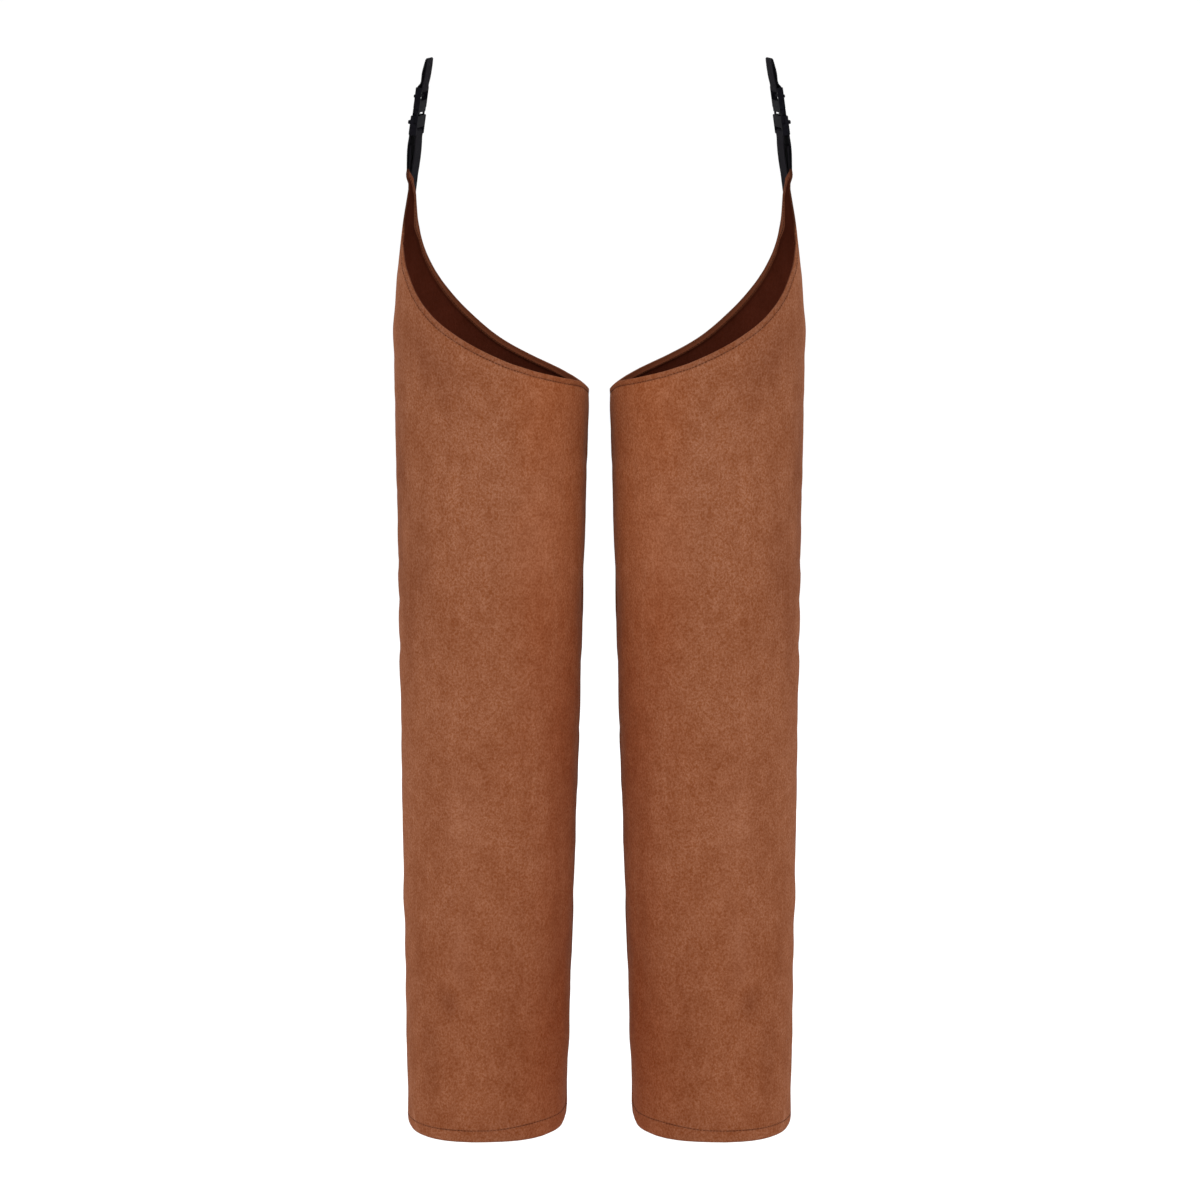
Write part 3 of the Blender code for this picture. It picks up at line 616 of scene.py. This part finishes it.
# ---------------------------------------------------------------- thread
def stitch_run(points, normals, pitch=STITCH_PITCH, length=STITCH_LENGTH, radius=THREAD):
    """Short rounded threads end to end along a line, each dipping into the cloth at its ends."""
    steps = np.linalg.norm(np.diff(points, axis=0), axis=1)
    way = np.concatenate(([0.0], np.cumsum(steps)))
    middles = np.arange(pitch * 0.5, way[-1] - pitch * 0.4, pitch)
    if not len(middles):
        return np.zeros((0, 3)), []

    def at(s, values):
        return np.stack([np.interp(s, way, values[:, k]) for k in range(3)], -1)

    here = at(middles, points)
    along = unit(at(middles + length * 0.3, points) - at(middles - length * 0.3, points))
    up = unit(at(middles, normals))
    up = unit(up - along * np.sum(up * along, axis=1, keepdims=True))
    aside = np.cross(along, up)
    sides = 6
    # Place along the stitch, lift and size, in lengths and radii.
    stations = (
        (-0.52, -0.9, 0.55), (-0.36, 0.25, 0.95), (0.0, 0.5, 1.05), (0.36, 0.25, 0.95),
        (0.52, -0.9, 0.55),
    )
    rings = []
    for place, lift, size in stations:
        centre = here + along * (place * length) + up * (lift * radius)
        for k in range(sides):
            angle = 2.0 * math.pi * k / sides
            spoke = aside * math.cos(angle) + up * math.sin(angle)
            rings.append(centre + spoke * (radius * size))
    cloud = np.stack(rings, 1)
    each = cloud.shape[1]
    faces = []
    for n in range(len(middles)):
        base = n * each
        for r in range(len(stations) - 1):
            for k in range(sides):
                nxt = (k + 1) % sides
                a = base + r * sides
                faces.append((a + k, a + sides + k, a + sides + nxt, a + nxt))
        faces.append(tuple(base + k for k in range(sides)))
        last = base + (len(stations) - 1) * sides
        faces.append(tuple(last + k for k in range(sides - 1, -1, -1)))
    return cloud.reshape(-1, 3), faces


def add_thread(name, side, runs, material):
    points = []
    faces = []
    start = 0
    for cloud, run_faces in runs:
        points.append(cloud)
        faces += [tuple(v + start for v in face) for face in run_faces]
        start += len(cloud)
    cloud = np.concatenate(points)
    return add_mesh(name, placed(side, cloud), flip_for(side, faces), [material], sharp=80.0)


# ---------------------------------------------------------------- webbing
def hanger_point(across, up, out):
    """Points of the hanger: across to the back, up the strap, out from the cloth."""
    across, up, out = np.broadcast_arrays(across, up, out)
    height = FOOT_HEIGHT + up / SURFACE_PER_HEIGHT
    around = mix(FOOT_AROUND, TOP_AROUND, (height - FOOT_HEIGHT) / (0.0 - FOOT_HEIGHT))
    centre = tube(around, height)
    normal = outward(around, height)
    along = unit(np.stack((-normal[..., 1], normal[..., 0], np.zeros_like(height)), -1))
    off = (SEAM_GAP + out)[..., None]
    flat = centre + along * across[..., None] + normal * off
    turned = around + np.degrees(across / section("half_width", height))
    curved = tube(turned, height) + outward(turned, height) * off
    return mix(curved, flat, smooth_step((up - FLAT_FROM) / (FLAT_TO - FLAT_FROM))[..., None])


def arc(centre, radius, start, end, count):
    angles = np.radians(np.linspace(start, end, count + 1))
    return [(centre[0] + radius * math.cos(a), centre[1] + radius * math.sin(a)) for a in angles]


def lower_strap_path():
    path = list(STRAP_INNER)
    path += arc(SOCKET_BAR, SOCKET_LOOP, 180.0, 0.0, 8)
    path += STRAP_OUTER
    path += arc(STRAP_TAIL, TAIL_RADIUS, 0.0, -180.0, 4)
    path += STRAP_TAIL_END
    return path


def belt_loop_path():
    path = list(LOOP_INNER)
    path += arc(PLUG_BAR, PLUG_LOOP, 180.0, 360.0, 8)
    path += LOOP_OUTER
    return path


def refine(path, closed, spacing=0.0007):
    """Even points on a smooth line through a path of (out, up)."""
    points = np.array(path)
    if closed:
        points = np.concatenate((points, points[:1]))
    steps = np.linalg.norm(np.diff(points, axis=0), axis=1)
    way = np.concatenate(([0.0], np.cumsum(steps)))
    count = int(way[-1] / spacing)
    s = np.linspace(0.0, way[-1], count + 1)
    if closed:
        s = s[:-1]
    return np.stack((curve(way, points[:, 0], s), curve(way, points[:, 1], s)), -1), s


def webbing_ring():
    """(across, out) round the webbing's section, with rounded selvedges."""
    half = WEBBING_WIDTH * 0.5
    thick = WEBBING * 0.5
    flat = np.linspace(-half + 0.0006, half - 0.0006, 23)
    ring = [(a, thick * 0.98) for a in flat]
    ring += [(half - 0.0006 + 0.0006 * math.cos(t), thick * math.sin(t)) for t in (0.8, 0.0, -0.8)]
    ring += [(a, -thick * 0.98) for a in flat[::-1]]
    ring += [(-half + 0.0006 - 0.0006 * math.cos(t), thick * math.sin(t)) for t in (-0.8, 0.0, 0.8)]
    return np.array(ring)


def add_webbing(name, side, path, closed, material):
    line, s = refine(path, closed)
    if closed:
        run = unit(np.roll(line, -1, 0) - np.roll(line, 1, 0))
    else:
        run = unit(np.gradient(line, axis=0))
    ring = webbing_ring()
    across = np.repeat(ring[None, :, 0], len(line), 0)
    shift = ring[None, :, 1]
    ribs = 1.0 + 0.07 * np.cos(s * 2.0 * math.pi / 0.0022)[:, None]
    out = line[:, 0, None] - run[:, 1, None] * shift * ribs
    up = line[:, 1, None] + run[:, 0, None] * shift * ribs
    points = hanger_point(across, up, out).reshape(-1, 3)
    size = len(ring)
    last = len(line) if closed else len(line) - 1
    faces = []
    for k in range(last):
        here = k * size
        there = ((k + 1) % len(line)) * size
        for j in range(size):
            nxt = (j + 1) % size
            faces.append((here + j, here + nxt, there + nxt, there + j))
    if not closed:
        faces.append(tuple(range(size))[::-1])
        faces.append(tuple(range((len(line) - 1) * size, len(line) * size)))
    uvs = np.stack((np.repeat(s[:, None], size, 1), across), -1).reshape(-1, 2) * 100.0
    faces = flip_for(side, faces)
    return add_mesh(name, placed(side, points), faces, [material], uvs=uvs, sharp=60.0)


def strap_line(corners, out, lift):
    """Points and directions along straight stitch lines on the webbing, from (across, up).

    lift is 1 on the outer face and -1 on the inner one.
    """
    lines = []
    t = np.linspace(0.0, 1.0, 24)
    for a, b in zip(corners, corners[1:]):
        across = mix(a[0], b[0], t)
        up = mix(a[1], b[1], t)
        here = hanger_point(across, up, np.full(len(t), out))
        there = hanger_point(across, up, np.full(len(t), out + 0.001))
        lines.append((here, unit(there - here) * lift))
    return lines


# ---------------------------------------------------------------- materials
SUEDE_OUTER = (0.294, 0.133, 0.081, 1.0)
# Painted shade: the legs' inner sides, where the other leg keeps light off, go darker and redder;
# less so at the thigh
SUEDE_INNER_SHADE = (0.277, 0.094, 0.046, 1.0)
SUEDE_THIGH_INNER_SHADE = (0.345, 0.134, 0.067, 1.0)
SUEDE_DUST = (0.360, 0.170, 0.105, 1.0)
# Colour of the painted shade in seams, edges and stitch grooves
SUEDE_PAINTED_SHADE = (0.070, 0.020, 0.010, 1.0)
# Painted shade: the turned-in strip inside the top edge is the outer suede darkened for the shade
# inside the leg, least towards the inseam
SUEDE_STRIP_SHADE_HIP = (0.100, 0.027, 0.0115, 1.0)      # the turned-in strip, by the hip point
SUEDE_STRIP_SHADE_MID = (0.135, 0.037, 0.0160, 1.0)
SUEDE_STRIP_SHADE_INSEAM = (0.190, 0.052, 0.0230, 1.0)        # and by the inseam
RIB_WIDTH = 0.11                                # of the webbing, in its map's units of 10 mm


def shader_of(name, roughness, specular=0.5):
    material = bpy.data.materials.new(name)
    material.use_nodes = True
    tree = material.node_tree
    shader = tree.nodes["Principled BSDF"]
    shader.inputs["Roughness"].default_value = roughness
    shader.inputs["Specular IOR Level"].default_value = specular
    return material, tree, shader


def node(tree, kind, **settings):
    """A new node; a setting is one of its own or, with _ for a space, an input's value."""
    made = tree.nodes.new(kind)
    for key, value in settings.items():
        if hasattr(made, key):
            setattr(made, key, value)
        else:
            made.inputs[key.replace("_", " ")].default_value = value
    return made


def math_of(tree, operation, first, second=None):
    made = node(tree, "ShaderNodeMath", operation=operation)
    for socket, value in enumerate((first, second)):
        if value is None:
            continue
        if isinstance(value, bpy.types.NodeSocket):
            tree.links.new(value, made.inputs[socket])
        else:
            made.inputs[socket].default_value = value
    return made.outputs[0]


def place_parts(tree):
    """Where a point is, as the outputs X, Y and Z."""
    place = node(tree, "ShaderNodeTexCoord")
    parts = node(tree, "ShaderNodeSeparateXYZ")
    tree.links.new(place.outputs["Object"], parts.inputs[0])
    return parts.outputs


def mirrored_place(tree):
    """Where a point is on the leg, the same for both legs."""
    parts = place_parts(tree)
    whole = node(tree, "ShaderNodeCombineXYZ")
    tree.links.new(math_of(tree, "ABSOLUTE", parts["X"]), whole.inputs["X"])
    tree.links.new(parts["Y"], whole.inputs["Y"])
    tree.links.new(parts["Z"], whole.inputs["Z"])
    return whole.outputs[0]


def noise_of(
    tree, place, scale, stretch=(1.0, 1.0, 1.0), detail=4.0, rough=0.55, shift=(0.0, 0.0, 0.0),
):
    mapping = node(tree, "ShaderNodeMapping", Scale=stretch, Location=shift)
    tree.links.new(place, mapping.inputs["Vector"])
    made = node(tree, "ShaderNodeTexNoise", Scale=scale, Detail=detail, Roughness=rough)
    tree.links.new(mapping.outputs[0], made.inputs["Vector"])
    return made.outputs["Fac"]


def ramp_of(tree, value, stops):
    made = node(tree, "ShaderNodeValToRGB")
    elements = made.color_ramp.elements
    while len(elements) < len(stops):
        elements.new(0.5)
    for element, (place, colour) in zip(elements, stops):
        element.position = place
        element.color = colour if len(colour) == 4 else (*colour, 1.0)
    tree.links.new(value, made.inputs["Fac"])
    return made.outputs["Color"]


def height_ramp(tree, start, end, stops):
    """A colour that changes from one height to another, the same on every side."""
    part = node(tree, "ShaderNodeMapRange", From_Min=start, From_Max=end)
    tree.links.new(place_parts(tree)["Z"], part.inputs["Value"])
    return ramp_of(tree, part.outputs[0], stops)


def grey(level):
    return (level, level, level)


def blend_of(tree, mode, amount, first, second):
    made = node(tree, "ShaderNodeMix", data_type="RGBA", blend_type=mode)
    for socket, value in ((0, amount), (6, first), (7, second)):
        if isinstance(value, bpy.types.NodeSocket):
            tree.links.new(value, made.inputs[socket])
        else:
            made.inputs[socket].default_value = value
    return made.outputs[2]


def bump_of(tree, shader, parts):
    """Stacks (height, strength, distance) bumps on the shader."""
    before = None
    for height, strength, distance in parts:
        made = node(tree, "ShaderNodeBump", Strength=strength, Distance=distance)
        tree.links.new(height, made.inputs["Height"])
        if before is not None:
            tree.links.new(before, made.inputs["Normal"])
        before = made.outputs["Normal"]
    tree.links.new(before, shader.inputs["Normal"])


def mark_of(tree, channel):
    marks = node(tree, "ShaderNodeVertexColor", layer_name="marks")
    if channel == 3:
        return marks.outputs["Alpha"]
    parts = node(tree, "ShaderNodeSeparateColor")
    tree.links.new(marks.outputs["Color"], parts.inputs[0])
    return parts.outputs[channel]


def tinted(tree, value, amount, low=0.30, high=0.70):
    """Darker and redder where the value is low, as the nap is."""
    dark = (1.0 - amount, 1.0 - 1.6 * amount, 1.0 - 2.2 * amount)
    return ramp_of(tree, value, ((low, dark), (high, grey(1.0))))


def suede_material():
    material, tree, shader = shader_of("suede", 0.95, 0.04)
    place = mirrored_place(tree)
    parts = node(tree, "ShaderNodeSeparateXYZ")
    tree.links.new(place, parts.inputs[0])
    cloud = noise_of(tree, place, 13.0, (1.0, 1.0, 0.7), 2.0, 0.5, (0.3, 0.1, 0.7))
    blotch = noise_of(tree, place, 62.0, (1.0, 1.0, 0.8), 6.0, 0.60, (1.7, 0.4, 0.2))
    grain = noise_of(tree, place, 560.0, (1.0, 1.0, 0.8), 3.0, 0.65)
    fibre = noise_of(tree, place, 1900.0, (1.0, 1.0, 0.5), 2.0, 0.6)
    streak = noise_of(tree, place, 60.0, (1.0, 1.0, 0.10), 5.0, 0.65, (4.1, 2.2, 0.0))
    # Painted shade on each leg's inner side, near x = 0, mixed in over the outer colour
    inner = node(
        tree, "ShaderNodeMapRange", interpolation_type="SMOOTHERSTEP",
        From_Min=0.115, From_Max=0.005,
    )
    wander = math_of(tree, "MULTIPLY_ADD", cloud, 0.06)
    wander.node.inputs[2].default_value = -0.03
    tree.links.new(math_of(tree, "ADD", parts.outputs["X"], wander), inner.inputs["Value"])
    inner_shade_colour = height_ramp(tree, -0.42, -0.62, ((0.0, SUEDE_THIGH_INNER_SHADE), (1.0, SUEDE_INNER_SHADE)))
    colour = blend_of(tree, "MIX", inner.outputs[0], SUEDE_OUTER, inner_shade_colour)
    # Painted shade: darker and more saturated towards the hem, as light from above falls
    lower_shade = height_ramp(tree, -0.30, -1.00, ((0.0, grey(1.0)), (1.0, (0.94, 0.86, 0.80))))
    colour = blend_of(tree, "MULTIPLY", 1.0, colour, lower_shade)
    colour = blend_of(tree, "MULTIPLY", 1.0, colour, tinted(tree, cloud, 0.085))
    colour = blend_of(tree, "MULTIPLY", 1.0, colour, tinted(tree, blotch, 0.15, 0.34, 0.66))
    dusty = ramp_of(tree, streak, ((0.52, grey(0.0)), (0.78, grey(0.30))))
    colour = blend_of(tree, "MIX", dusty, colour, SUEDE_DUST)
    colour = blend_of(tree, "MULTIPLY", 1.0, colour, tinted(tree, grain, 0.32, 0.36, 0.64))
    colour = blend_of(tree, "MULTIPLY", 1.0, colour, tinted(tree, fibre, 0.18))
    # The tone mark: lighter for scratches and light streaks, darker partly as painted shade of
    # troughs and creases
    tone = mark_of(tree, 0)
    lighter = ramp_of(tree, tone, ((0.5, grey(0.0)), (1.0, grey(0.8))))
    colour = blend_of(tree, "MIX", lighter, colour, SUEDE_DUST)
    darker = ramp_of(tree, tone, ((0.0, (0.50, 0.34, 0.26)), (0.5, grey(1.0))))
    colour = blend_of(tree, "MULTIPLY", 1.0, colour, darker)
    # Painted shade of the turned-in strip, lighter lower down towards the inseam
    turned = blend_of(tree, "MULTIPLY", 1.0, mark_of(tree, 3), (0.85, 0.85, 0.85, 1.0))
    strip_shade_stops = ((0.0, SUEDE_STRIP_SHADE_HIP), (0.55, SUEDE_STRIP_SHADE_MID), (1.0, SUEDE_STRIP_SHADE_INSEAM))
    strip_shade = height_ramp(tree, -0.22, -0.29, strip_shade_stops)
    colour = blend_of(tree, "MIX", turned, colour, strip_shade)
    # Painted shade from the marks (seams, rolled top edge, hem's underside, band above the top
    # stitch line), then the stitch grooves' painted shade
    seam = blend_of(tree, "MULTIPLY", 1.0, mark_of(tree, 1), (0.48, 0.48, 0.48, 1.0))
    colour = blend_of(tree, "MIX", seam, colour, SUEDE_PAINTED_SHADE)
    line = blend_of(tree, "MULTIPLY", 1.0, mark_of(tree, 2), (0.25, 0.25, 0.25, 1.0))
    colour = blend_of(tree, "MIX", line, colour, SUEDE_PAINTED_SHADE)
    tree.links.new(colour, shader.inputs["Base Color"])
    shader.inputs["Sheen Weight"].default_value = 0.05
    shader.inputs["Sheen Roughness"].default_value = 0.5
    shader.inputs["Sheen Tint"].default_value = (0.75, 0.40, 0.25, 1.0)
    bump_of(tree, shader, ((blotch, 0.20, 0.0010), (grain, 0.50, 0.0006), (fibre, 0.40, 0.0003)))
    return material


def flesh_material():
    material, tree, shader = shader_of("suede_inside", 1.0, 0.0)
    place = mirrored_place(tree)
    cloud = noise_of(tree, place, 16.0, (1.0, 1.0, 0.8), 4.0, 0.6)
    grain = noise_of(tree, place, 500.0, (1.0, 1.0, 0.6), 4.0, 0.7)
    reds = ((0.30, (0.065, 0.0148, 0.0078)), (0.70, (0.090, 0.0205, 0.0110)))
    colour = ramp_of(tree, cloud, reds)
    colour = blend_of(tree, "MULTIPLY", 1.0, colour, tinted(tree, grain, 0.20))
    # Painted light lower inside the leg, where its own shade is deepest: darker near the top edge,
    # lighter further down
    inside_painted_light = ((0.0, grey(0.50)), (0.27, grey(0.75)), (0.45, grey(0.90)), (1.0, grey(0.98)))
    colour = blend_of(tree, "MULTIPLY", 1.0, colour, height_ramp(tree, -0.16, -0.27, inside_painted_light))
    tree.links.new(colour, shader.inputs["Base Color"])
    bump_of(tree, shader, ((grain, 0.5, 0.0006),))
    return material


def cut_material():
    material, tree, shader = shader_of("suede_cut_edge", 1.0, 0.0)
    place = mirrored_place(tree)
    grain = noise_of(tree, place, 900.0, (1.0, 1.0, 1.0), 4.0, 0.7)
    colour = ramp_of(tree, grain, ((0.30, (0.028, 0.009, 0.0045)), (0.70, (0.060, 0.020, 0.010))))
    tree.links.new(colour, shader.inputs["Base Color"])
    bump_of(tree, shader, ((grain, 0.5, 0.0004),))
    return material


def webbing_material():
    """Plain-woven webbing: ridges along it, each crossed by picks half a step apart."""
    material, tree, shader = shader_of("webbing", 0.90, 0.015)
    coordinate = node(tree, "ShaderNodeUVMap", uv_map="weave")
    parts = node(tree, "ShaderNodeSeparateXYZ")
    tree.links.new(coordinate.outputs[0], parts.inputs[0])
    along = math_of(tree, "MULTIPLY", parts.outputs["X"], 1.0 / RIB_WIDTH)
    across = math_of(tree, "MULTIPLY", parts.outputs["Y"], 1.0 / RIB_WIDTH)
    shifted = math_of(tree, "MULTIPLY", math_of(tree, "FLOOR", across), 0.5)
    turns = math_of(tree, "MULTIPLY", math_of(tree, "ADD", along, shifted), 2.0 * math.pi)
    pick = math_of(tree, "SINE", turns)
    wave = math_of(tree, "SINE", math_of(tree, "MULTIPLY", across, math.pi))
    ridge = math_of(tree, "ABSOLUTE", wave)
    picks = math_of(tree, "ADD", math_of(tree, "MULTIPLY", pick, 0.35), 0.65)
    weave = math_of(tree, "MULTIPLY", ridge, picks)
    place = mirrored_place(tree)
    fuzz = noise_of(tree, place, 1800.0, (1.0, 1.0, 1.0), 2.0, 0.6)
    blacks = ((0.0, (0.0038, 0.0034, 0.0044)), (1.0, (0.0210, 0.0192, 0.0232)))
    colour = ramp_of(tree, weave, blacks)
    fine = ramp_of(tree, fuzz, ((0.3, grey(0.75)), (0.7, grey(1.25))))
    colour = blend_of(tree, "MULTIPLY", 1.0, colour, fine)
    tree.links.new(colour, shader.inputs["Base Color"])
    bump_of(tree, shader, ((weave, 0.8, 0.0003), (fuzz, 0.25, 0.0001)))
    return material


def plastic_material():
    material, tree, shader = shader_of("plastic", 0.55, 0.006)
    place = mirrored_place(tree)
    grain = noise_of(tree, place, 2600.0, (1.0, 1.0, 1.0), 2.0, 0.5)
    # Scuffs and painted highlights: faint lighter streaks in the black; the same noise varies the
    # gloss
    scuff_and_highlight = noise_of(tree, place, 260.0, (1.0, 0.3, 1.0), 4.0, 0.6)
    blacks = ((0.35, (0.0034, 0.0031, 0.0044)), (0.75, (0.0072, 0.0067, 0.0090)))
    colour = ramp_of(tree, scuff_and_highlight, blacks)
    tree.links.new(colour, shader.inputs["Base Color"])
    gloss = ramp_of(tree, scuff_and_highlight, ((0.30, grey(0.36)), (0.75, grey(0.55))))
    tree.links.new(gloss, shader.inputs["Roughness"])
    bump_of(tree, shader, ((grain, 0.25, 0.0001), (scuff_and_highlight, 0.10, 0.0002)))
    return material


def thread_material(name, light, dark):
    material, tree, shader = shader_of(name, 0.85, 0.05)
    place = mirrored_place(tree)
    twist = noise_of(tree, place, 3000.0, (1.0, 1.0, 1.0), 1.0, 0.5)
    colour = ramp_of(tree, twist, ((0.35, dark), (0.65, light)))
    tree.links.new(colour, shader.inputs["Base Color"])
    bump_of(tree, shader, ((twist, 0.4, 0.0001),))
    return material


# ---------------------------------------------------------------- put together
def hip_edge(height):
    return curve(HIP_FRONT_EDGE[:, 1], HIP_FRONT_EDGE[:, 0], height)


def outseam_edge(height):
    return np.full(np.shape(height), OUTSEAM)


def foot_stitches():
    """The box and cross that hold the strap on the hip point, on its outer face."""
    half = WEBBING_WIDTH * 0.5 - 0.0022
    low, high = -0.0210, -0.0020
    box = ((-half, low), (half, low), (half, high), (-half, high), (-half, low), (half, high))
    other = ((half, low), (-half, high))
    return strap_line(box, WEBBING, 1.0) + strap_line(other, WEBBING, 1.0)


def loop_stitches():
    """Three rows across the neck of the belt loop and one on the strap's tail."""
    half = WEBBING_WIDTH * 0.5 - 0.0015
    lines = []
    for up in (0.0996, 0.1006, 0.1016):
        lines += strap_line(((-half, up), (half, up)), 0.0036, 1.0)
        lines += strap_line(((-half, up), (half, up)), 0.0, -1.0)
    for up in (0.0185, 0.0215):
        lines += strap_line(((-half, up), (half, up)), 0.0063, 1.0)
    return lines


def add_leg(name, side, looks):
    suede = [looks["suede"], looks["flesh"], looks["cut"]]
    front = Panel(FRONT_RIM, -180.0, outseam_edge, 0.45)
    back = Panel(BACK_RIM, 180.0, hip_edge)
    for label, panel in (("front", front), ("back", back)):
        piece = add_panel(f"{name}_{label}_suede", side, panel, suede)
        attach(piece, "root")
        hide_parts(f"{name}_leg_{label}")
        runs = []
        for inside, lift in ((0.0, 0.00005), (DOUBLED, 0.00025)):
            runs.append(stitch_run(*rim_line(panel, RIM_STITCH, inside, lift)))
            runs.append(stitch_run(*hem_line(panel, inside, lift)))
        thread = add_thread(f"{name}_{label}_stitching", side, runs, looks["thread"])
        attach(thread, "root")
    for label, path, closed, node_name in (
        ("strap", lower_strap_path(), False, "lower_strap"),
        ("loop", belt_loop_path(), True, "belt_loop"),
    ):
        piece = add_webbing(f"{name}_{label}_webbing", side, path, closed, looks["webbing"])
        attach(piece, "root")
        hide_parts(f"{name}_{node_name}")
    runs = [
        stitch_run(*line, HANGER_PITCH, HANGER_STITCH, HANGER_THREAD)
        for line in foot_stitches() + loop_stitches()
    ]
    thread = add_thread(f"{name}_hanger_stitching", side, runs, looks["black_thread"])
    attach(thread, "root")
    for part in ("socket", "plug"):
        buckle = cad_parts[f"{name}_buckle_{part}"]
        for slot in buckle.material_slots:
            slot.material = looks["plastic"]


FLOOR_HALF = 60.0
FLOOR_LEVEL = -1.36
LOOKED_AT = (0.0, 0.0, -0.55)
CAMERA_PLACE = (0.0006, -4.9, 0.3145)
CAMERA_DOWN = 9.6139                          # degrees
CAMERA_LENS = 152.137                         # for a 36 mm square frame


def add_floor():
    corners = ((-1, -1), (1, -1), (1, 1), (-1, 1))
    points = np.array([(x * FLOOR_HALF, y * FLOOR_HALF, FLOOR_LEVEL) for x, y in corners])
    material, tree, shader = shader_of("floor", 0.9, 0.1)
    shader.inputs["Base Color"].default_value = (0.92, 0.92, 0.92, 1.0)
    floor = add_mesh("floor", points, [(0, 1, 2, 3)], [material])


def add_area(name, place, size, power):
    light = bpy.data.lights.new(name, "AREA")
    light.shape = "RECTANGLE"
    light.size, light.size_y = size
    light.energy = power
    obj = bpy.data.objects.new(name, light)
    bpy.context.scene.collection.objects.link(obj)
    obj.location = place
    obj.rotation_euler = (Vector(LOOKED_AT) - Vector(place)).to_track_quat("-Z", "Y").to_euler()


def add_lights():
    world = bpy.data.worlds.new("studio")
    bpy.context.scene.world = world
    world.use_nodes = True
    background = world.node_tree.nodes["Background"]
    background.inputs["Color"].default_value = (1.0, 1.0, 1.0, 1.0)
    background.inputs["Strength"].default_value = 1.10
    bpy.context.scene.view_settings.view_transform = "Standard"
    add_area("key", (0.0, -4.2, 1.6), (2.4, 2.4), 18.0)
    add_area("left", (-2.9, -2.3, 0.7), (1.6, 2.4), 34.0)
    add_area("right", (2.9, -2.3, 0.7), (1.6, 2.4), 34.0)
    add_area("back", (0.0, 3.6, 1.8), (3.0, 2.0), 30.0)


def add_camera():
    camera = bpy.data.cameras.new("camera")
    camera.lens = CAMERA_LENS
    camera.sensor_width = 36.0
    camera.clip_end = 200.0
    obj = bpy.data.objects.new("camera", camera)
    bpy.context.scene.collection.objects.link(obj)
    obj.location = CAMERA_PLACE
    obj.rotation_euler = (math.radians(90.0 - CAMERA_DOWN), 0.0, 0.0)
    bpy.context.scene.camera = obj


looks = {
    "suede": suede_material(),
    "flesh": flesh_material(),
    "cut": cut_material(),
    "webbing": webbing_material(),
    "plastic": plastic_material(),
    "thread": thread_material("brown_thread", (0.085, 0.022, 0.010), (0.040, 0.010, 0.005)),
    "black_thread": thread_material("black_thread", (0.014, 0.014, 0.016), (0.005, 0.005, 0.006)),
}
add_leg("right", -1.0, looks)
add_leg("left", 1.0, looks)
add_floor()
add_lights()
add_camera()
